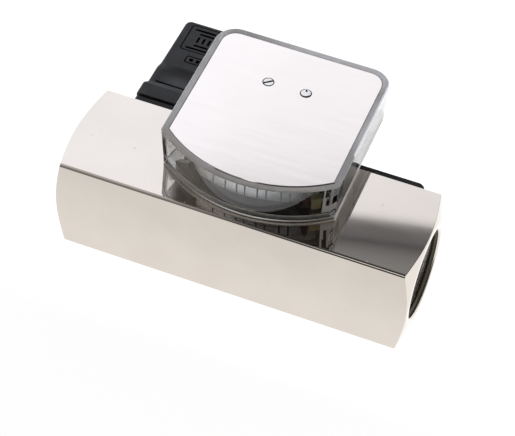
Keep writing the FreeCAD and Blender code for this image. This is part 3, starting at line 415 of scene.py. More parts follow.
def make_pointer():
    """Black arm with a dark red flag at its end."""
    m, nt, b, co = material("pointer_paint")
    p = add(nt, "ShaderNodeSeparateXYZ", {0: co})
    dx = calc(nt, "SUBTRACT", p.outputs[0], PIV[0] * MM)
    dy = calc(nt, "SUBTRACT", p.outputs[1], PIV[1] * MM)
    r = calc(nt, "SQRT", calc(nt, "ADD", calc(nt, "MULTIPLY", dx, dx), calc(nt, "MULTIPLY", dy, dy)))
    black = tone(nt, co, 200.0, (0.012, 0.012, 0.013), (0.022, 0.021, 0.021))
    red = tone(nt, co, 300.0, (0.032, 0.003, 0.003), (0.045, 0.004, 0.004))
    flag = calc(nt, "MULTIPLY", span(nt, r, 0.0421, 0.0423, 0, 1), span(nt, p.outputs[2], 0.04585, 0.04595, 0, 1))
    nt.links.new(blend(nt, flag, black, red), b.inputs["Base Color"])
    nt.links.new(span(nt, noise(nt, co, 600.0), 0.3, 0.7, 0.35, 0.5), b.inputs["Roughness"])
    nt.links.new(bump(nt, noise(nt, co, 2500.0), 3e-6), b.inputs["Normal"])
    return m


M["pointer"] = make_pointer()


# ---- mesh helpers ---------------------------------------------------------------------
def skin(loops, ring=False, cap0=None, cap1=None):
    """Quads between loops of equal count; caps are fans to a point."""
    n, m = len(loops[0]), len(loops)
    verts = [p for l in loops for p in l]
    faces = []
    for i in range(m if ring else m - 1):
        a, b = i * n, ((i + 1) % m) * n
        for j in range(n):
            k = (j + 1) % n
            faces.append((a + j, a + k, b + k, b + j))
    for cap, base, flip in ((cap0, 0, True), (cap1, (m - 1) * n, False)):
        if cap is not None:
            verts.append(cap)
            c = len(verts) - 1
            for j in range(n):
                k = (j + 1) % n
                faces.append((base + k, base + j, c) if flip else (base + j, base + k, c))
    return verts, faces


def tidy(me, sharp=32.0, soft=None):
    """Joins doubled points, turns faces outwards and marks the sharp edges."""
    bm = bmesh.new()
    bm.from_mesh(me)
    bmesh.ops.remove_doubles(bm, verts=bm.verts, dist=2e-7)
    bmesh.ops.dissolve_degenerate(bm, edges=bm.edges, dist=2e-7)
    bmesh.ops.recalc_face_normals(bm, faces=bm.faces)
    for f in bm.faces:
        f.smooth = True
    lim = math.radians(sharp)
    for e in bm.edges:
        e.smooth = True
        if len(e.link_faces) == 2 and e.calc_face_angle(0.0) > lim:
            if soft is None or not soft((e.verts[0].co + e.verts[1].co) * 500.0):
                e.smooth = False
    bm.to_mesh(me)
    bm.free()


def make(name, shape, mats, sharp=32.0, soft=None, mat_of=None):
    verts, faces = shape
    me = bpy.data.meshes.new(name)
    me.from_pydata([(x * MM, y * MM, z * MM) for x, y, z in verts], [], faces)
    tidy(me, sharp, soft)
    for m in mats:
        me.materials.append(m)
    if mat_of:
        for f in me.polygons:
            f.material_index = mat_of(f.center * 1000.0, f.normal)
    o = bpy.data.objects.new(name, me)
    bpy.context.scene.collection.objects.link(o)
    return o


def even(o):
    """Normals weighted by face area, so that flat faces stay flat."""
    w = o.modifiers.new("even", "WEIGHTED_NORMAL")
    w.keep_sharp = True
    w.weight = 90
    return o


def boolean(o, cutters, op="DIFFERENCE", sharp=32.0):
    for c in cutters:
        m = o.modifiers.new("b", "BOOLEAN")
        m.object, m.operation, m.solver = c, op, "EXACT"
    bpy.context.view_layer.update()
    dg = bpy.context.evaluated_depsgraph_get()
    me = bpy.data.meshes.new_from_object(o.evaluated_get(dg))
    o.modifiers.clear()
    old, o.data = o.data, me
    bpy.data.meshes.remove(old)
    for c in cutters:
        d = c.data
        bpy.data.objects.remove(c)
        bpy.data.meshes.remove(d)
    tidy(me, sharp)
    return o


def place(o, body, node=None):
    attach(o, body)
    if node:
        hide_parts(node)
    return o


def circle(r, n, a0=0.0):
    return [(r * math.cos(a0 + TAU * i / n), r * math.sin(a0 + TAU * i / n)) for i in range(n)]


def rounded_square(h, r, ns=8, nc=6):
    """Outline of a square of half width h with corner radius r, counterclockwise."""
    pts = []
    for k in range(4):
        c, s = math.cos(TAU * k / 4), math.sin(TAU * k / 4)
        for i in range(nc + 1):
            a = (math.pi / 2) * i / nc
            x, y = h - r + r * math.cos(a), h - r + r * math.sin(a)
            pts.append((x * c - y * s, x * s + y * c))
        for i in range(1, ns):
            x, y = (h - r) * (1 - 2 * i / ns), h
            pts.append((x * c - y * s, x * s + y * c))
    return pts


# ---- bar: rounded long edges, turned ends, threaded ports, stepped bore -------------------
def bar_outline():
    """Section of the bar, counterclockwise from the back top edge; the front top edge is polished rounder."""
    h, ns, corners = BAR_H, 46, []
    for k, r in enumerate((0.08, 0.0, 0.30, 0.22)):
        sx, sy = ((1, 1), (-1, 1), (-1, -1), (1, -1))[k]
        if k == 1:
            # steps of the polished edge: tilt from level in degrees, length
            steps = [(0, 0.05), (3, 0.40), (10, 0.10), (20, 0.08), (32, 0.06), (42, 0.08), (46, 0.12), (50, 0.08), (56, 0.25), (58, 0.25), (90, 0.05)]
            y, z = -h + sum(d * math.cos(math.radians(t)) for t, d in steps), h
            arc = [(y, z)]
            for t, d in steps:
                y, z = y - d * math.cos(math.radians(t)), z - d * math.sin(math.radians(t))
                arc.append((y, z))
        else:
            arc = [(sx * (h - r) + r * math.cos(TAU * k / 4 + math.pi / 2 * i / 5),
                    sy * (h - r) + r * math.sin(TAU * k / 4 + math.pi / 2 * i / 5)) for i in range(6)]
        corners.append(arc)
    pts = []
    for k in range(4):
        pts += corners[k]
        p0, p1 = corners[k][-1], corners[(k + 1) % 4][0]
        pts += [(p0[0] + (p1[0] - p0[0]) * i / ns, p0[1] + (p1[1] - p0[1]) * i / ns) for i in range(1, ns)]
    return pts


def make_bar():
    xe = BAR_L / 2
    out = bar_outline()
    rho = [math.hypot(*p) for p in out]
    phi = [math.atan2(p[1], p[0]) for p in out]
    n = len(out)
    xend = lambda r: xe - END_CONE * max(0.0, r - END_RING_R)

    def scaled(cut, dx, sign):
        """Outline moved in by cut towards the axis, dx back from the end's edge."""
        return [(sign * (xend(rho[j]) + dx), out[j][0] * (1 - cut / rho[j]), AX_Z + out[j][1] * (1 - cut / rho[j]))
                for j in range(n)]

    def ring(x, r):
        return [(x, r * math.cos(phi[j]), AX_Z + r * math.sin(phi[j])) for j in range(n)]

    def thread(sign, minor):
        """Helical thread from the mouth to its run-out, as loops from the mouth inwards."""
        loops = []
        d = 0.0
        while d < THR_DEPTH + 1e-6:
            x = sign * (xe - d)
            fade = max(0.0, min(1.0, (16.1 - d) / 1.2))
            loop = []
            for j in range(n):
                t = (x / PITCH - phi[j] / TAU) % 1.0
                u = abs(t - 0.5) * 2
                f = min(1.0, max(0.0, (0.835 - u) / 0.705))
                r = max(minor + (MAJOR_R - 0.03 - minor) * f * fade, MOUTH_R - d)
                loop.append((x, r * math.cos(phi[j]), AX_Z + r * math.sin(phi[j])))
            loops.append(loop)
            d += 0.125
        return loops

    e = 0.22
    left = [scaled(0, -e, -1), scaled(0.29 * e, -0.21 * e, -1), scaled(e, END_CONE * e, -1)]
    right = [scaled(0, -e, 1), scaled(0.29 * e, -0.21 * e, 1), scaled(e, END_CONE * e, 1)]
    loops = left[::-1] + right
    loops += [ring(xe - 0.02, END_RING_R + 0.06), ring(xe, END_RING_R - 0.06), ring(xe, MOUTH_R + 0.12), ring(xe - 0.03, MOUTH_R + 0.03)]
    loops += thread(1, MINOR_IN)[1:]
    loops += [ring(xe - THR_DEPTH, BORE_R), ring(37.5, BORE_R), ring(37.5, 15.9), ring(36.1, 15.9), ring(36.1, BORE_R),
              ring(-44.0, BORE_R), ring(-44.0, LIP_R), ring(-48.5, LIP_R)]
    loops += thread(-1, MINOR_OUT)[1:][::-1]
    loops += [ring(-xe + 0.03, MOUTH_R + 0.03), ring(-xe, MOUTH_R + 0.12), ring(-xe, END_RING_R - 0.06), ring(-xe + 0.02, END_RING_R + 0.06)]

    def soft(c):
        r = math.hypot(c.y, c.z - AX_Z)
        return abs(c.x) > 48.6 and 15.0 < r < 16.85

    def mat_of(c, nrm):
        r, d = math.hypot(c.y, c.z - AX_Z), xe - abs(c.x)
        if r < MOUTH_R + 0.05 and d > 0.6:
            return 2
        return 1 if abs(c.x) > 63.0 and abs(nrm.x) > 0.6 else 0

    o = make("meter_bar", skin(loops, ring=True), [M["nickel"], M["nickel_turned"], M["bore"]], 25.0, soft, mat_of)
    even(o)
    return place(o, "meter", "meter_body")


make_bar()


# ---- clear tray -----------------------------------------------------------------------------
NL, NF, NA, NB, NK = 10, 7, 112, 18, 12


def tray_outline(inset, rf):
    """Outline of the tray, counterclockwise from the back of the left side."""
    xl, xr, yb = TRAY_XL + inset, TRAY_XR - inset, TRAY_YB - inset
    rc, big = max(TRAY_RC - inset, 0.6), TRAY_R - inset
    px, py = TRAY_C
    cl = (xl + rf, py - math.sqrt((big - rf) ** 2 - (xl + rf - px) ** 2))
    cr = (xr - rf, py - math.sqrt((big - rf) ** 2 - (xr - rf - px) ** 2))
    al = math.atan2(cl[1] - py, cl[0] - px)
    ar = math.atan2(cr[1] - py, cr[0] - px)
    pts = [(xl, yb - rc + (cl[1] - yb + rc) * i / NL) for i in range(NL)]
    for c, a0, a1, r, k in ((cl, -math.pi, al, rf, NF), (TRAY_C, al, ar, big, NA), (cr, ar, 0.0, rf, NF)):
        pts += [(c[0] + r * math.cos(a0 + (a1 - a0) * i / k), c[1] + r * math.sin(a0 + (a1 - a0) * i / k)) for i in range(k)]
    pts += [(xr, cr[1] + (yb - rc - cr[1]) * i / NL) for i in range(NL)]
    pts += [(xr - rc + rc * math.cos(math.pi / 2 * i / NB), yb - rc + rc * math.sin(math.pi / 2 * i / NB)) for i in range(NB)]
    pts += [(xr - rc - (xr - xl - 2 * rc) * i / NK, yb) for i in range(NK)]
    pts += [(xl + rc - rc * math.sin(math.pi / 2 * i / NB), yb - rc + rc * math.cos(math.pi / 2 * i / NB)) for i in range(NB)]
    return pts


def tray_loop(inset, z, rf):
    return [(x, y, z) for x, y in tray_outline(inset, rf)]


def make_tray():
    loops = [tray_loop(i, z, rf) for i, z, rf in (
        (2.30, 40.50, 0.5), (2.30, 40.06, 0.5), (2.26, 40.02, 0.5), (1.25, 40.02, 0.6), (1.02, 40.06, 0.7),
        (0.98, 40.10, 0.8), (0.62, 40.86, 0.8), (0.63, 40.95, 0.8),
        (0.79, 41.50, 0.8), (0.83, 41.56, 0.8), (0.76, 41.64, 0.8),
        (0.55, 46.0, 0.85), (0.29, 51.3, 0.85), (0.03, 56.50, 0.9),
        (0.06, 56.70, 0.9), (0.17, 56.88, 0.8), (0.38, 57.0, 0.7), (0.5, 57.0, 0.7), (0.70, 57.0, 0.7),
        (2.02, 57.0, 0.5), (2.15, 57.0, 0.5), (2.29, 56.96, 0.5), (2.35, 56.85, 0.5),
        (2.35, 55.58, 0.5), (2.43, 55.50, 0.5), (2.86, 55.50, 0.5), (2.95, 55.40, 0.5),
        (3.15, 51.0, 0.6), (3.35, 46.5, 0.6), (3.50, 43.05, 0.6), (3.52, 40.62, 0.6), (3.55, 40.58, 0.6), (3.62, 40.62, 0.6),
        (3.66, 42.44, 0.6), (3.71, 42.49, 0.6), (4.05, 42.50, 0.6))]
    floor = loops[-1]
    ang = [math.atan2(y - PIV[1], x - PIV[0]) for x, y, _ in floor]
    for r, z in ((4.75, 42.50), (4.40, 42.56), (4.22, 42.74), (3.42, 45.12), (3.28, 45.27), (3.10, 45.30),
                 (2.14, 45.30), (2.02, 45.20), (2.02, 43.01)):
        loops.append([(PIV[0] + r * math.cos(a), PIV[1] + r * math.sin(a), z) for a in ang])

    rims = tray_outline(2.0, 0.5), tray_outline(3.0, 0.5)

    def inside(c, rim):
        """True where a point lies inside the outline of a rim."""
        hit = False
        for k in range(len(rim)):
            (x0, y0), (x1, y1) = rim[k - 1], rim[k]
            if (y0 > c.y) != (y1 > c.y) and c.x < x0 + (x1 - x0) * (c.y - y0) / (y1 - y0):
                hit = not hit
        return hit

    def mat_of(c, nrm):
        if c.z > 55.6 and inside(c, rims[0]):
            # painted shade on the front right of the ledge under the lid's edge
            return 2 if c.y < -4.5 and c.x > -8.0 else 1
        if c.z > 56.55 and c.x > TRAY_XR - 0.70 and c.y > 9.0:
            return 6
        if c.z > 56.6 and nrm.z > 0.35:
            return 1
        if 42.45 < c.z < 42.6 and nrm.z > 0.5:
            return 3
        # painted highlight streaks of the inner front corners
        inner = nrm.x * (c.x - TRAY_C[0]) + nrm.y * (c.y - TRAY_C[1]) < -0.1
        if inner and 43.1 < c.z < 55.4 and 28.2 < c.x < 28.9 and c.y < -3.0:
            return 5
        if inner and 43.1 < c.z < 46.5 and c.x > 28.2 and c.y < 0.0:
            return 5
        if c.z > 43.0 and math.hypot(c.x - 30.6, c.y + 4.1) < 0.9:
            return 5 if c.z < 47.0 else 1
        if c.z > 43.0 and math.hypot(c.x + 28.4, c.y + 3.1) < 0.9:
            return 1
        if c.z > 43.1 and c.x > 30.0 and nrm.x < -0.5 and 0.0 < c.y < 15.0:
            return 1
        if c.z > 41.64:
            return 0
        if inside(c, rims[1]):
            # front of the floor plate, seen through the wall, painted pale as light
            return 5 if c.z > 40.6 and nrm.x * (c.x - 1.0) + nrm.y * (c.y - 20.0) > 0 else 0
        # painted highlight on the foot band; painted shade on the bottom faces at the contact line
        return 4 if 40.1 < c.z < 41.52 else 2 if c.z < 40.1 else 0

    o = make("indicator_tray", skin(loops, cap0=(*PIV, 40.50), cap1=(*PIV, 43.01)), [M["clear"], M["frosted"], M["seam"], M["haze"], M["ring"], M["under"], M["glint"]], 40.0, None, mat_of)
    even(o)
    return place(o, "meter", "indicator_housing")


make_tray()


# ---- marks on the scale band ------------------------------------------------------------------
def on_band(a, z, r):
    t = math.radians(a)
    return PIV[0] + r * math.sin(t), PIV[1] - r * math.cos(t), z


def bar_mark(a, w, z0, z1, r0, r1):
    """Thin printed bar at angle a, w millimetres wide."""
    half = math.degrees(w / 2 / r1)
    p = [on_band(a + s * half, z, r) for r in (r0, r1) for s, z in ((-1, z0), (1, z0), (1, z1), (-1, z1))]
    return p, [(0, 1, 2, 3), (7, 6, 5, 4), (0, 4, 5, 1), (1, 5, 6, 2), (2, 6, 7, 3), (3, 7, 4, 0)]


def join_shapes(shapes):
    verts, faces = [], []
    for v, f in shapes:
        k = len(verts)
        verts += v
        faces += [tuple(i + k for i in q) for q in f]
    return verts, faces


LONG = (-13.9, -7.4, -1.7, 2.2, 8.2, 12.3, 19.1, 23.25)
NUMBERS = ("80", "70", "60", "50", "40", "30", "20", "10")


def numeral(text, a, z, size, r):
    """Plain number as a thin raised print on the band."""
    cu = bpy.data.curves.new("t", "FONT")
    cu.body, cu.size, cu.extrude, cu.resolution_u = text, size, 0.012, 3
    cu.align_x, cu.align_y = "CENTER", "CENTER"
    o = bpy.data.objects.new("t", cu)
    bpy.context.scene.collection.objects.link(o)
    bpy.context.view_layer.update()
    me = bpy.data.meshes.new_from_object(o.evaluated_get(bpy.context.evaluated_depsgraph_get()))
    verts = [on_band(a + math.degrees(v.co.x / r), z + v.co.y, r + 0.014 + v.co.z) for v in me.vertices]
    faces = [tuple(f.vertices) for f in me.polygons]
    bpy.data.objects.remove(o)
    bpy.data.curves.remove(cu)
    bpy.data.meshes.remove(me)
    return verts, faces


def make_marks():
    r0, r1 = BAND_R + 0.002, BAND_R + 0.026
    shapes = []
    ends = (-17.8,) + LONG + (28.2,)
    for a, t in zip(LONG, NUMBERS):
        shapes.append(bar_mark(a, 0.58, BAND_Z0 + 0.12, TICK_Z1, r0, r1))
        shapes.append(numeral(t, a, TICK_Z1 + 1.45, 2.3, BAND_R))
    for a0, a1 in zip(ends, ends[1:]):
        k = max(2, round((a1 - a0) / 1.15))
        for i in range(1, k):
            shapes.append(bar_mark(a0 + (a1 - a0) * i / k, 0.085, BAND_Z0 + 0.12, BAND_Z0 + 1.5, r0, r1))
    o = make("scale_marks", join_shapes(shapes), [M["ink"]], 30.0)
    return place(o, "meter", None)


make_marks()


# ---- plug housing ---------------------------------------------------------------------------------
def plug_loop(y, hu, hw, r, ns=26, nc=6):
    """Section of the plug at y: half width hu, half height hw, with the thumb hollows."""
    pts = []
    for u, w in rounded_square(1.0, r / hw, ns, nc):
        u, w = u * hu, w * hw
        if abs(w) > hw - 0.02 and 37.4 < y < 47.6:
            side = max(0.0, 1 - (abs(u) / 10.2) ** 3)
            t = (y - 37.4) / 10.2
            w -= math.copysign(1.15 * math.sin(math.pi * (0.10 + 0.90 * t ** 1.5)) ** 1.2 * side, w)
        pts.append((CN_X + u, y, CN_Z + w))
    return pts


def prism_y(outline, y0, y1):
    a = [(CN_X + u, y0, CN_Z + w) for u, w in outline]
    b = [(CN_X + u, y1, CN_Z + w) for u, w in outline]
    return skin([a, b], cap0=(CN_X, y0, CN_Z), cap1=(CN_X, y1, CN_Z))


def tube_x(r, x0, x1, y, z, n=64):
    c = circle(r, n)
    return skin([[(x, y + u, z + w) for u, w in c] for x in (x0, x1)], cap0=(x0, y, z), cap1=(x1, y, z))


def box_shape(x0, x1, y0, y1, z0, z1):
    v = [(x, y, z) for z in (z0, z1) for x, y in ((x0, y0), (x1, y0), (x1, y1), (x0, y1))]
    return v, [(3, 2, 1, 0), (4, 5, 6, 7), (0, 1, 5, 4), (1, 2, 6, 5), (2, 3, 7, 6), (3, 0, 4, 7)]


def groove(x0, x1, y, w, z0, z1):
    """Obround cutter along X."""
    pts = []
    for i in range(9):
        a = -math.pi / 2 + math.pi * i / 8
        pts.append((x1 - w / 2 + w / 2 * math.cos(a), y + w / 2 * math.sin(a)))
    for i in range(9):
        a = math.pi / 2 + math.pi * i / 8
        pts.append((x0 + w / 2 + w / 2 * math.cos(a), y + w / 2 * math.sin(a)))
    return skin([[(x, yy, z) for x, yy in pts] for z in (z0, z1)], cap0=((x0 + x1) / 2, y, z0), cap1=((x0 + x1) / 2, y, z1))


def frame_cutter(x0, x1, y0, y1, r, w, z0, z1):
    """Closed channel along a rounded rectangle."""
    def rect(g):
        pts = []
        for cx, cy, a0 in ((x1 - r, y1 - r, 0), (x0 + r, y1 - r, 90), (x0 + r, y0 + r, 180), (x1 - r, y0 + r, 270)):
            for i in range(8):
                a = math.radians(a0 + 90 * i / 7)
                pts.append((cx + (r + g) * math.cos(a), cy + (r + g) * math.sin(a)))
        return pts
    o, i = rect(w / 2), rect(-w / 2)
    return skin([[(x, y, z0) for x, y in o], [(x, y, z1) for x, y in o], [(x, y, z1) for x, y in i], [(x, y, z0) for x, y in i]], ring=True)


def make_plug():
    rs = 0.9
    st = [(PLUG_Y0, 13.94, 0.8), (PLUG_Y0 + 0.05, 14.00, 0.85), (PLUG_Y0 + 0.12, 14.02, rs), (34.35, 14.02, rs), (34.65, 13.98, rs),
          (35.0, 13.86, rs), (36.2, 13.05, rs), (36.6, 12.94, rs), (36.9, 12.90, rs), (37.40, 12.90, rs),
          (37.46, 12.90, rs), (37.98, 12.90, rs), (38.06, 12.90, rs)]
    st += [(38.06 + 0.41 * i, 12.90, rs) for i in range(1, 16)]
    st += [(44.2 + 0.45 * i, 12.90 - 0.40 * (3 * (i / 9) ** 2 - 2 * (i / 9) ** 3), rs) for i in range(1, 10)]
    st += [(53.0, 12.46, rs), (58.0, 12.42, rs), (64.5, 12.38, rs)]
    st = [(y, h, h + 0.3 * min(1.0, max(0.0, (y - 34.8) / 1.4)), r) for y, h, r in st]
    y0 = PLUG_Y1 - 2.0
    for t in (0.0, 0.3, 0.55, 0.75, 0.9, 1.0):
        # wide rounding of the upright end edges, small rounding of the level ones
        a = math.pi / 2 * t
        y = y0 + 2.0 * math.sin(a)
        q = max(0.0, (y - (PLUG_Y1 - 0.3)) / 0.3)
        st.append((y, 12.36 - 2.0 * (1 - math.cos(a)), 12.66 - 0.3 * (1 - math.sqrt(max(0.0, 1 - q * q))), rs))
    loops = [plug_loop(*q) for q in st]
    o = make("plug_body", skin(loops, cap0=(CN_X, PLUG_Y0, CN_Z), cap1=(CN_X, PLUG_Y1, CN_Z)), [M["plug"]])
    neck = make("t_neck", tube_x(9.0, -33.0, -17.4, GLAND_Y, CN_Z), [M["plug"]])
    boolean(o, [neck], "UNION")
    cut = [make("t0", box_shape(CN_X - 10.4, CN_X + 10.4, 28.0, 34.0, CN_Z - 10.4, CN_Z + 10.4), []),
           make("t1", box_shape(CN_X - 10.1, CN_X + 10.1, 33.9, 67.0, CN_Z - 10.1, CN_Z + 10.1), []),
           make("t2", tube_x(7.0, CN_X, -16.0, GLAND_Y, CN_Z), []),
           make("t3", prism_y(circle(1.8, 32), 60.0, 75.0), []),
           make("t4", prism_y(circle(3.3, 48), PLUG_Y1 - 2.6, 75.0), [])]
    for s in (1, -1):
        zt = CN_Z + s * 12.7
        z0, z1 = (zt - 0.8, zt + 1.5) if s > 0 else (zt - 1.5, zt + 0.8)
        cut.append(make("tf%d" % s, frame_cutter(-51.0, -32.8, 57.4, 71.0, 1.2, 0.45, z0, z1), []))
        cut.append(make("tn%d" % s, box_shape(CN_X - 10.2, CN_X + 10.2, 37.05, 37.95, *sorted((CN_Z + s * 11.1, CN_Z + s * 15))), []))
        # four long bars and a row of short ones, as plain grips
        for i, (y, half) in enumerate(((58.9, 7.5), (60.8, 5.0), (67.1, 5.0), (69.0, 7.4))):
            cut.append(make("tg%d_%d" % (s, i), groove(CN_X - half, CN_X + half, y, 0.95, z0, z1), []))
        for i in range(5):
            x = CN_X - 4.4 + 2.2 * i
            cut.append(make("tv%d_%d" % (s, i), box_shape(x - 0.45, x + 0.45, 62.4, 65.5, z0, z1), []))
        cut.append(make("te%d" % s, frame_cutter(CN_X - 4.7, CN_X + 4.7, 51.3, 54.7, 0.7, 0.5, z0 + 0.05 * s, z1), []))
        for i in range(3):
            x = CN_X - 2.6 + 2.6 * i
            cut.append(make("tw%d_%d" % (s, i), box_shape(x - 0.7, x + 0.7, 52.2, 53.8, z0, z1), []))
    boolean(o, cut)
    b = o.modifiers.new("edge", "BEVEL")
    b.width, b.segments, b.limit_method, b.angle_limit = 0.12 * MM, 2, "ANGLE", math.radians(40)
    b.harden_normals = False
    even(o)
    return place(o, "switch_head", "plug_housing")


make_plug()


# ---- return spring ----------------------------------------------------------------------------------
def make_spring():
    sp0, sp1, r, w, turns = -37.44, 11.35, 4.4, 0.5, 9.5
    n, k = int(turns * 40), 12
    loops = []
    for i in range(n + 1):
        t = i / n
        x = sp0 + (sp1 - sp0) * t
        a = TAU * turns * t
        c = Vector((x, r * math.cos(a), AX_Z + r * math.sin(a)))
        tan = Vector(((sp1 - sp0) / (TAU * turns), -r * math.sin(a), r * math.cos(a))).normalized()
        rad = Vector((0, math.cos(a), math.sin(a)))
        bi = tan.cross(rad)
        loops.append([tuple(c + rad * (w * math.cos(TAU * j / k)) + bi * (w * math.sin(TAU * j / k))) for j in range(k)])
    c0 = (sp0, r, AX_Z)
    a = TAU * turns
    c1 = (sp1, r * math.cos(a), AX_Z + r * math.sin(a))
    o = make("spring_coil", skin(loops, cap0=c0, cap1=c1), [M["spring"]], 50.0)
    place(o, "meter", "return_spring")
    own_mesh(o)


make_spring()


# ---- the other pieces keep their shape and get a finish --------------------------------------------------
FINISH = {
    "measuring_sleeve": "brass", "sleeve_o_ring": "rubber", "inlet_spider": "steel", "outlet_spider": "steel",
    "guide_rod": "steel", "retaining_ring": "spring", "piston": "brass", "piston_magnet": "magnet", "piston_cap": "brass",
    "indicator_gasket": "gasket", "indicator_base_screws": "steel", "lid_plate": "lid", "lid_screw": "fastener", "lid_stud": "fastener",
    "lid_posts": "brass", "bearing_bridge": "passivated", "upper_bearing": "brass", "lower_bearing": "brass", "pivot_arbor": "steel",
    "pointer": "pointer", "follower_magnet": "magnet", "scale_carrier": "passivated", "scale_band": "white",
    "switch_housing": "black", "switch_cover": "black", "switch_cover_screws": "steel", "switch_board": "board", "reed_switch": "glass",
    "switch_leads": "lead", "clamp_washers": "steel", "clamp_screws": "steel", "contact_carrier": "black", "contact_blades": "contact",
    "connector_gasket": "rubber", "plug_insert": "black", "plug_terminal_screws": "steel", "plug_screw": "steel",
    "gland_seal": "rubber", "gland_washer": "black", "gland_nut": "plug"}
EDGE = {"switch_housing": 0.35, "switch_cover": 0.2, "gland_nut": 0.3, "contact_carrier": 0.2, "connector_gasket": 0.15,
        "clamp_screws": 0.2, "clamp_washers": 0.12, "switch_cover_screws": 0.06, "plug_screw": 0.15, "retaining_ring": 0.12,
        "inlet_spider": 0.15, "outlet_spider": 0.15, "pointer": 0.1, "scale_carrier": 0.08, "scale_band": 0.06, "lid_screw": 0.05, "lid_stud": 0.04,
        "piston": 0.1, "bearing_bridge": 0.1, "indicator_base_screws": 0.1}
for name, o in NODES.items():
    if name in FINISH:
        o.data.materials.clear()
        o.data.materials.append(M[FINISH[name]])
    if name in EDGE:
        w = o.modifiers.new("weld", "WELD")
        w.merge_threshold = 2e-6
        d = o.modifiers.new("flat", "DECIMATE")
        d.decimate_type, d.angle_limit = "DISSOLVE", math.radians(0.4)
        b = o.modifiers.new("edge", "BEVEL")
        b.width, b.segments, b.limit_method, b.angle_limit = EDGE[name] * MM, 2, "ANGLE", math.radians(34)
        even(o)


# ---- floor, light, camera ------------------------------------------------------------------------------------
scene = bpy.context.scene


def make_floor():
    me = bpy.data.meshes.new("floor")
    s, z = 12.0, -0.00005
    me.from_pydata([(-s, -s, z), (s, -s, z), (s, s, z), (-s, s, z)], [], [(0, 1, 2, 3)])
    o = bpy.data.objects.new("floor", me)
    scene.collection.objects.link(o)
    m, nt, b, co = material("floor_white")
    b.inputs["Base Color"].default_value = (0.06, 0.06, 0.06, 1)
    b.inputs["Roughness"].default_value = 1.0
    b.inputs["Specular IOR Level"].default_value = 0.0
    p = add(nt, "ShaderNodeSeparateXYZ", {0: co})
    # painted pool of light: the floor glows brighter just in front of the bar
    glow = span(nt, p.outputs[1], -0.054, -0.020, 0.965, 1.10, "SMOOTHSTEP")
    # painted light: extra glow of the floor beside the bar's ends
    ends = calc(nt, "MULTIPLY", span(nt, p.outputs[0], 0.062, 0.070, 0.0, 0.10, "SMOOTHSTEP"), span(nt, p.outputs[1], -0.022, -0.014, 0, 1, "SMOOTHSTEP"))
    nt.links.new(calc(nt, "ADD", glow, ends), b.inputs["Emission Strength"])
    b.inputs["Emission Color"].default_value = (1.0, 1.0, 1.0, 1)
    me.materials.append(m)


make_floor()


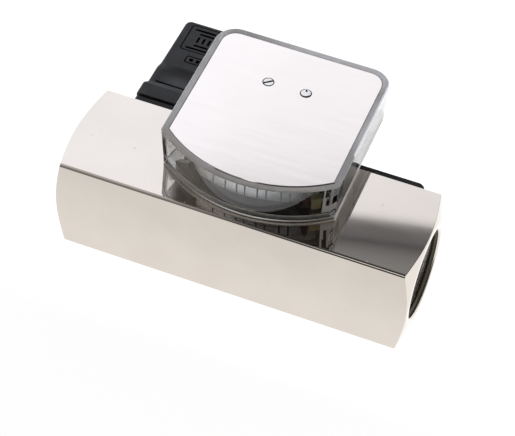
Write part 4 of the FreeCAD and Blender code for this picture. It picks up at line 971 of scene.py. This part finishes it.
def make_world():
    """Soft white room: bright low band all round, dark band above it, bright box overhead."""
    w = bpy.data.worlds.new("studio")
    scene.world = w
    w.use_nodes = True
    nt = w.node_tree
    nt.nodes.clear()
    out = add(nt, "ShaderNodeOutputWorld")
    bg = add(nt, "ShaderNodeBackground")
    nt.links.new(bg.outputs[0], out.inputs[0])
    d = add(nt, "ShaderNodeSeparateXYZ", {0: add(nt, "ShaderNodeTexCoord").outputs["Generated"]})
    x, y, z = d.outputs
    side = span(nt, x, -0.33, -0.10, 0, 1, "SMOOTHSTEP")
    white = blend(nt, side, (1.30, 1.34, 1.45), (1.15, 1.17, 1.245))
    screen = calc(nt, "MULTIPLY", span(nt, x, 0.03, 0.12, 0, 1, "SMOOTHSTEP"), span(nt, z, 0.700, 0.738, 0.35, 1, "SMOOTHSTEP"))
    white = blend(nt, screen, white, (0.22, 0.21, 0.20))
    zenith = blend(nt, span(nt, x, -0.28, -0.20, 0, 1, "SMOOTHSTEP"), (0.62, 0.60, 0.60), (0.07, 0.067, 0.065))
    # upper edge of the bright back wall and the grey steps above it
    edge = ((0.7400, 1.0), (0.7515, 1.0), (0.7528, 0.87), (0.7535, 0.75), (0.7542, 0.62), (0.7546, 0.48), (0.7549, 0.36),
            (0.7553, 0.28), (0.7563, 0.22), (0.7574, 0.165), (0.7610, 0.145), (0.7622, 0.085), (0.7636, 0.145),
            (0.7657, 0.20), (0.7680, 0.24), (0.7705, 0.26), (0.7760, 0.14), (0.7850, 0.0), (0.8000, 0.0))
    wall = ramp(nt, span(nt, z, 0.74, 0.80, 0, 1), [((v - 0.74) / 0.06, g) for v, g in edge])
    high = span(nt, z, 0.772, 0.785, 0, 1, "SMOOTHSTEP")
    back = blend(nt, high, blend(nt, wall, (0, 0, 0), white), zenith)
    dusk = blend(nt, span(nt, x, -0.28, -0.20, 0, 1, "SMOOTHSTEP"), (0.24, 0.235, 0.235), (0.07, 0.067, 0.065))
    low = blend(nt, span(nt, z, 0.02, 0.06, 0, 1, "SMOOTHSTEP"), (1.05, 1.05, 1.07), dusk)
    panel = calc(nt, "MULTIPLY", span(nt, x, 0.80, 0.90, 0, 1, "SMOOTHSTEP"), span(nt, z, 0.32, 0.42, 1, 0, "SMOOTHSTEP"))
    low = blend(nt, panel, low, (1.10, 1.08, 1.05))
    glow = span(nt, x, -0.215, -0.145, 0.30, 1.35, "SMOOTHSTEP")
    box = calc(nt, "MULTIPLY", span(nt, z, 0.455, 0.485, 0, 1, "SMOOTHSTEP"), span(nt, z, 0.650, 0.690, 1, 0, "SMOOTHSTEP"))
    box = calc(nt, "MULTIPLY", box, calc(nt, "MULTIPLY", span(nt, x, -0.42, -0.36, 0, 1), span(nt, x, -0.08, -0.03, 1, 0)))
    lamp = add(nt, "ShaderNodeCombineXYZ", {0: glow, 1: glow, 2: glow}).outputs[0]
    front = blend(nt, span(nt, z, 0.72, 0.80, 0, 1, "SMOOTHSTEP"), low, zenith)
    n = add(nt, "ShaderNodeMix", data_type="RGBA")
    for i, v in ((0, box), (6, front), (7, lamp)):
        nt.links.new(v, n.inputs[i])
    top = blend(nt, span(nt, y, -0.12, 0.02, 0, 1, "SMOOTHSTEP"), n.outputs[2], back)
    nt.links.new(top, bg.inputs["Color"])
    bg.inputs["Strength"].default_value = 1.0


make_world()


def make_camera():
    c = bpy.data.cameras.new("camera")
    c.lens, c.sensor_width = 131.346, 36.0
    c.clip_start, c.clip_end = 0.01, 60.0
    o = bpy.data.objects.new("camera", c)
    scene.collection.objects.link(o)
    right = Vector((0.9294814, 0.3671902, 0.0351534))
    down = Vector((0.2998099, -0.6965077, -0.6519134))
    ahead = Vector((-0.2148916, 0.6164807, -0.7574782))
    r = Matrix((right, -down, -ahead)).transposed().to_4x4()
    o.matrix_world = Matrix.Translation(Vector((146.381, -410.062, 525.140)) * MM) @ r
    scene.camera = o


make_camera()

scene.view_settings.view_transform = "Standard"
scene.view_settings.look = "None"
scene.cycles.use_denoising = True
scene.cycles.max_bounces = 20
scene.cycles.transmission_bounces = 16
scene.cycles.glossy_bounces = 8
scene.cycles.diffuse_bounces = 4
scene.cycles.caustics_refractive = True
scene.cycles.caustics_reflective = True
scene.cycles.blur_glossy = 0.0
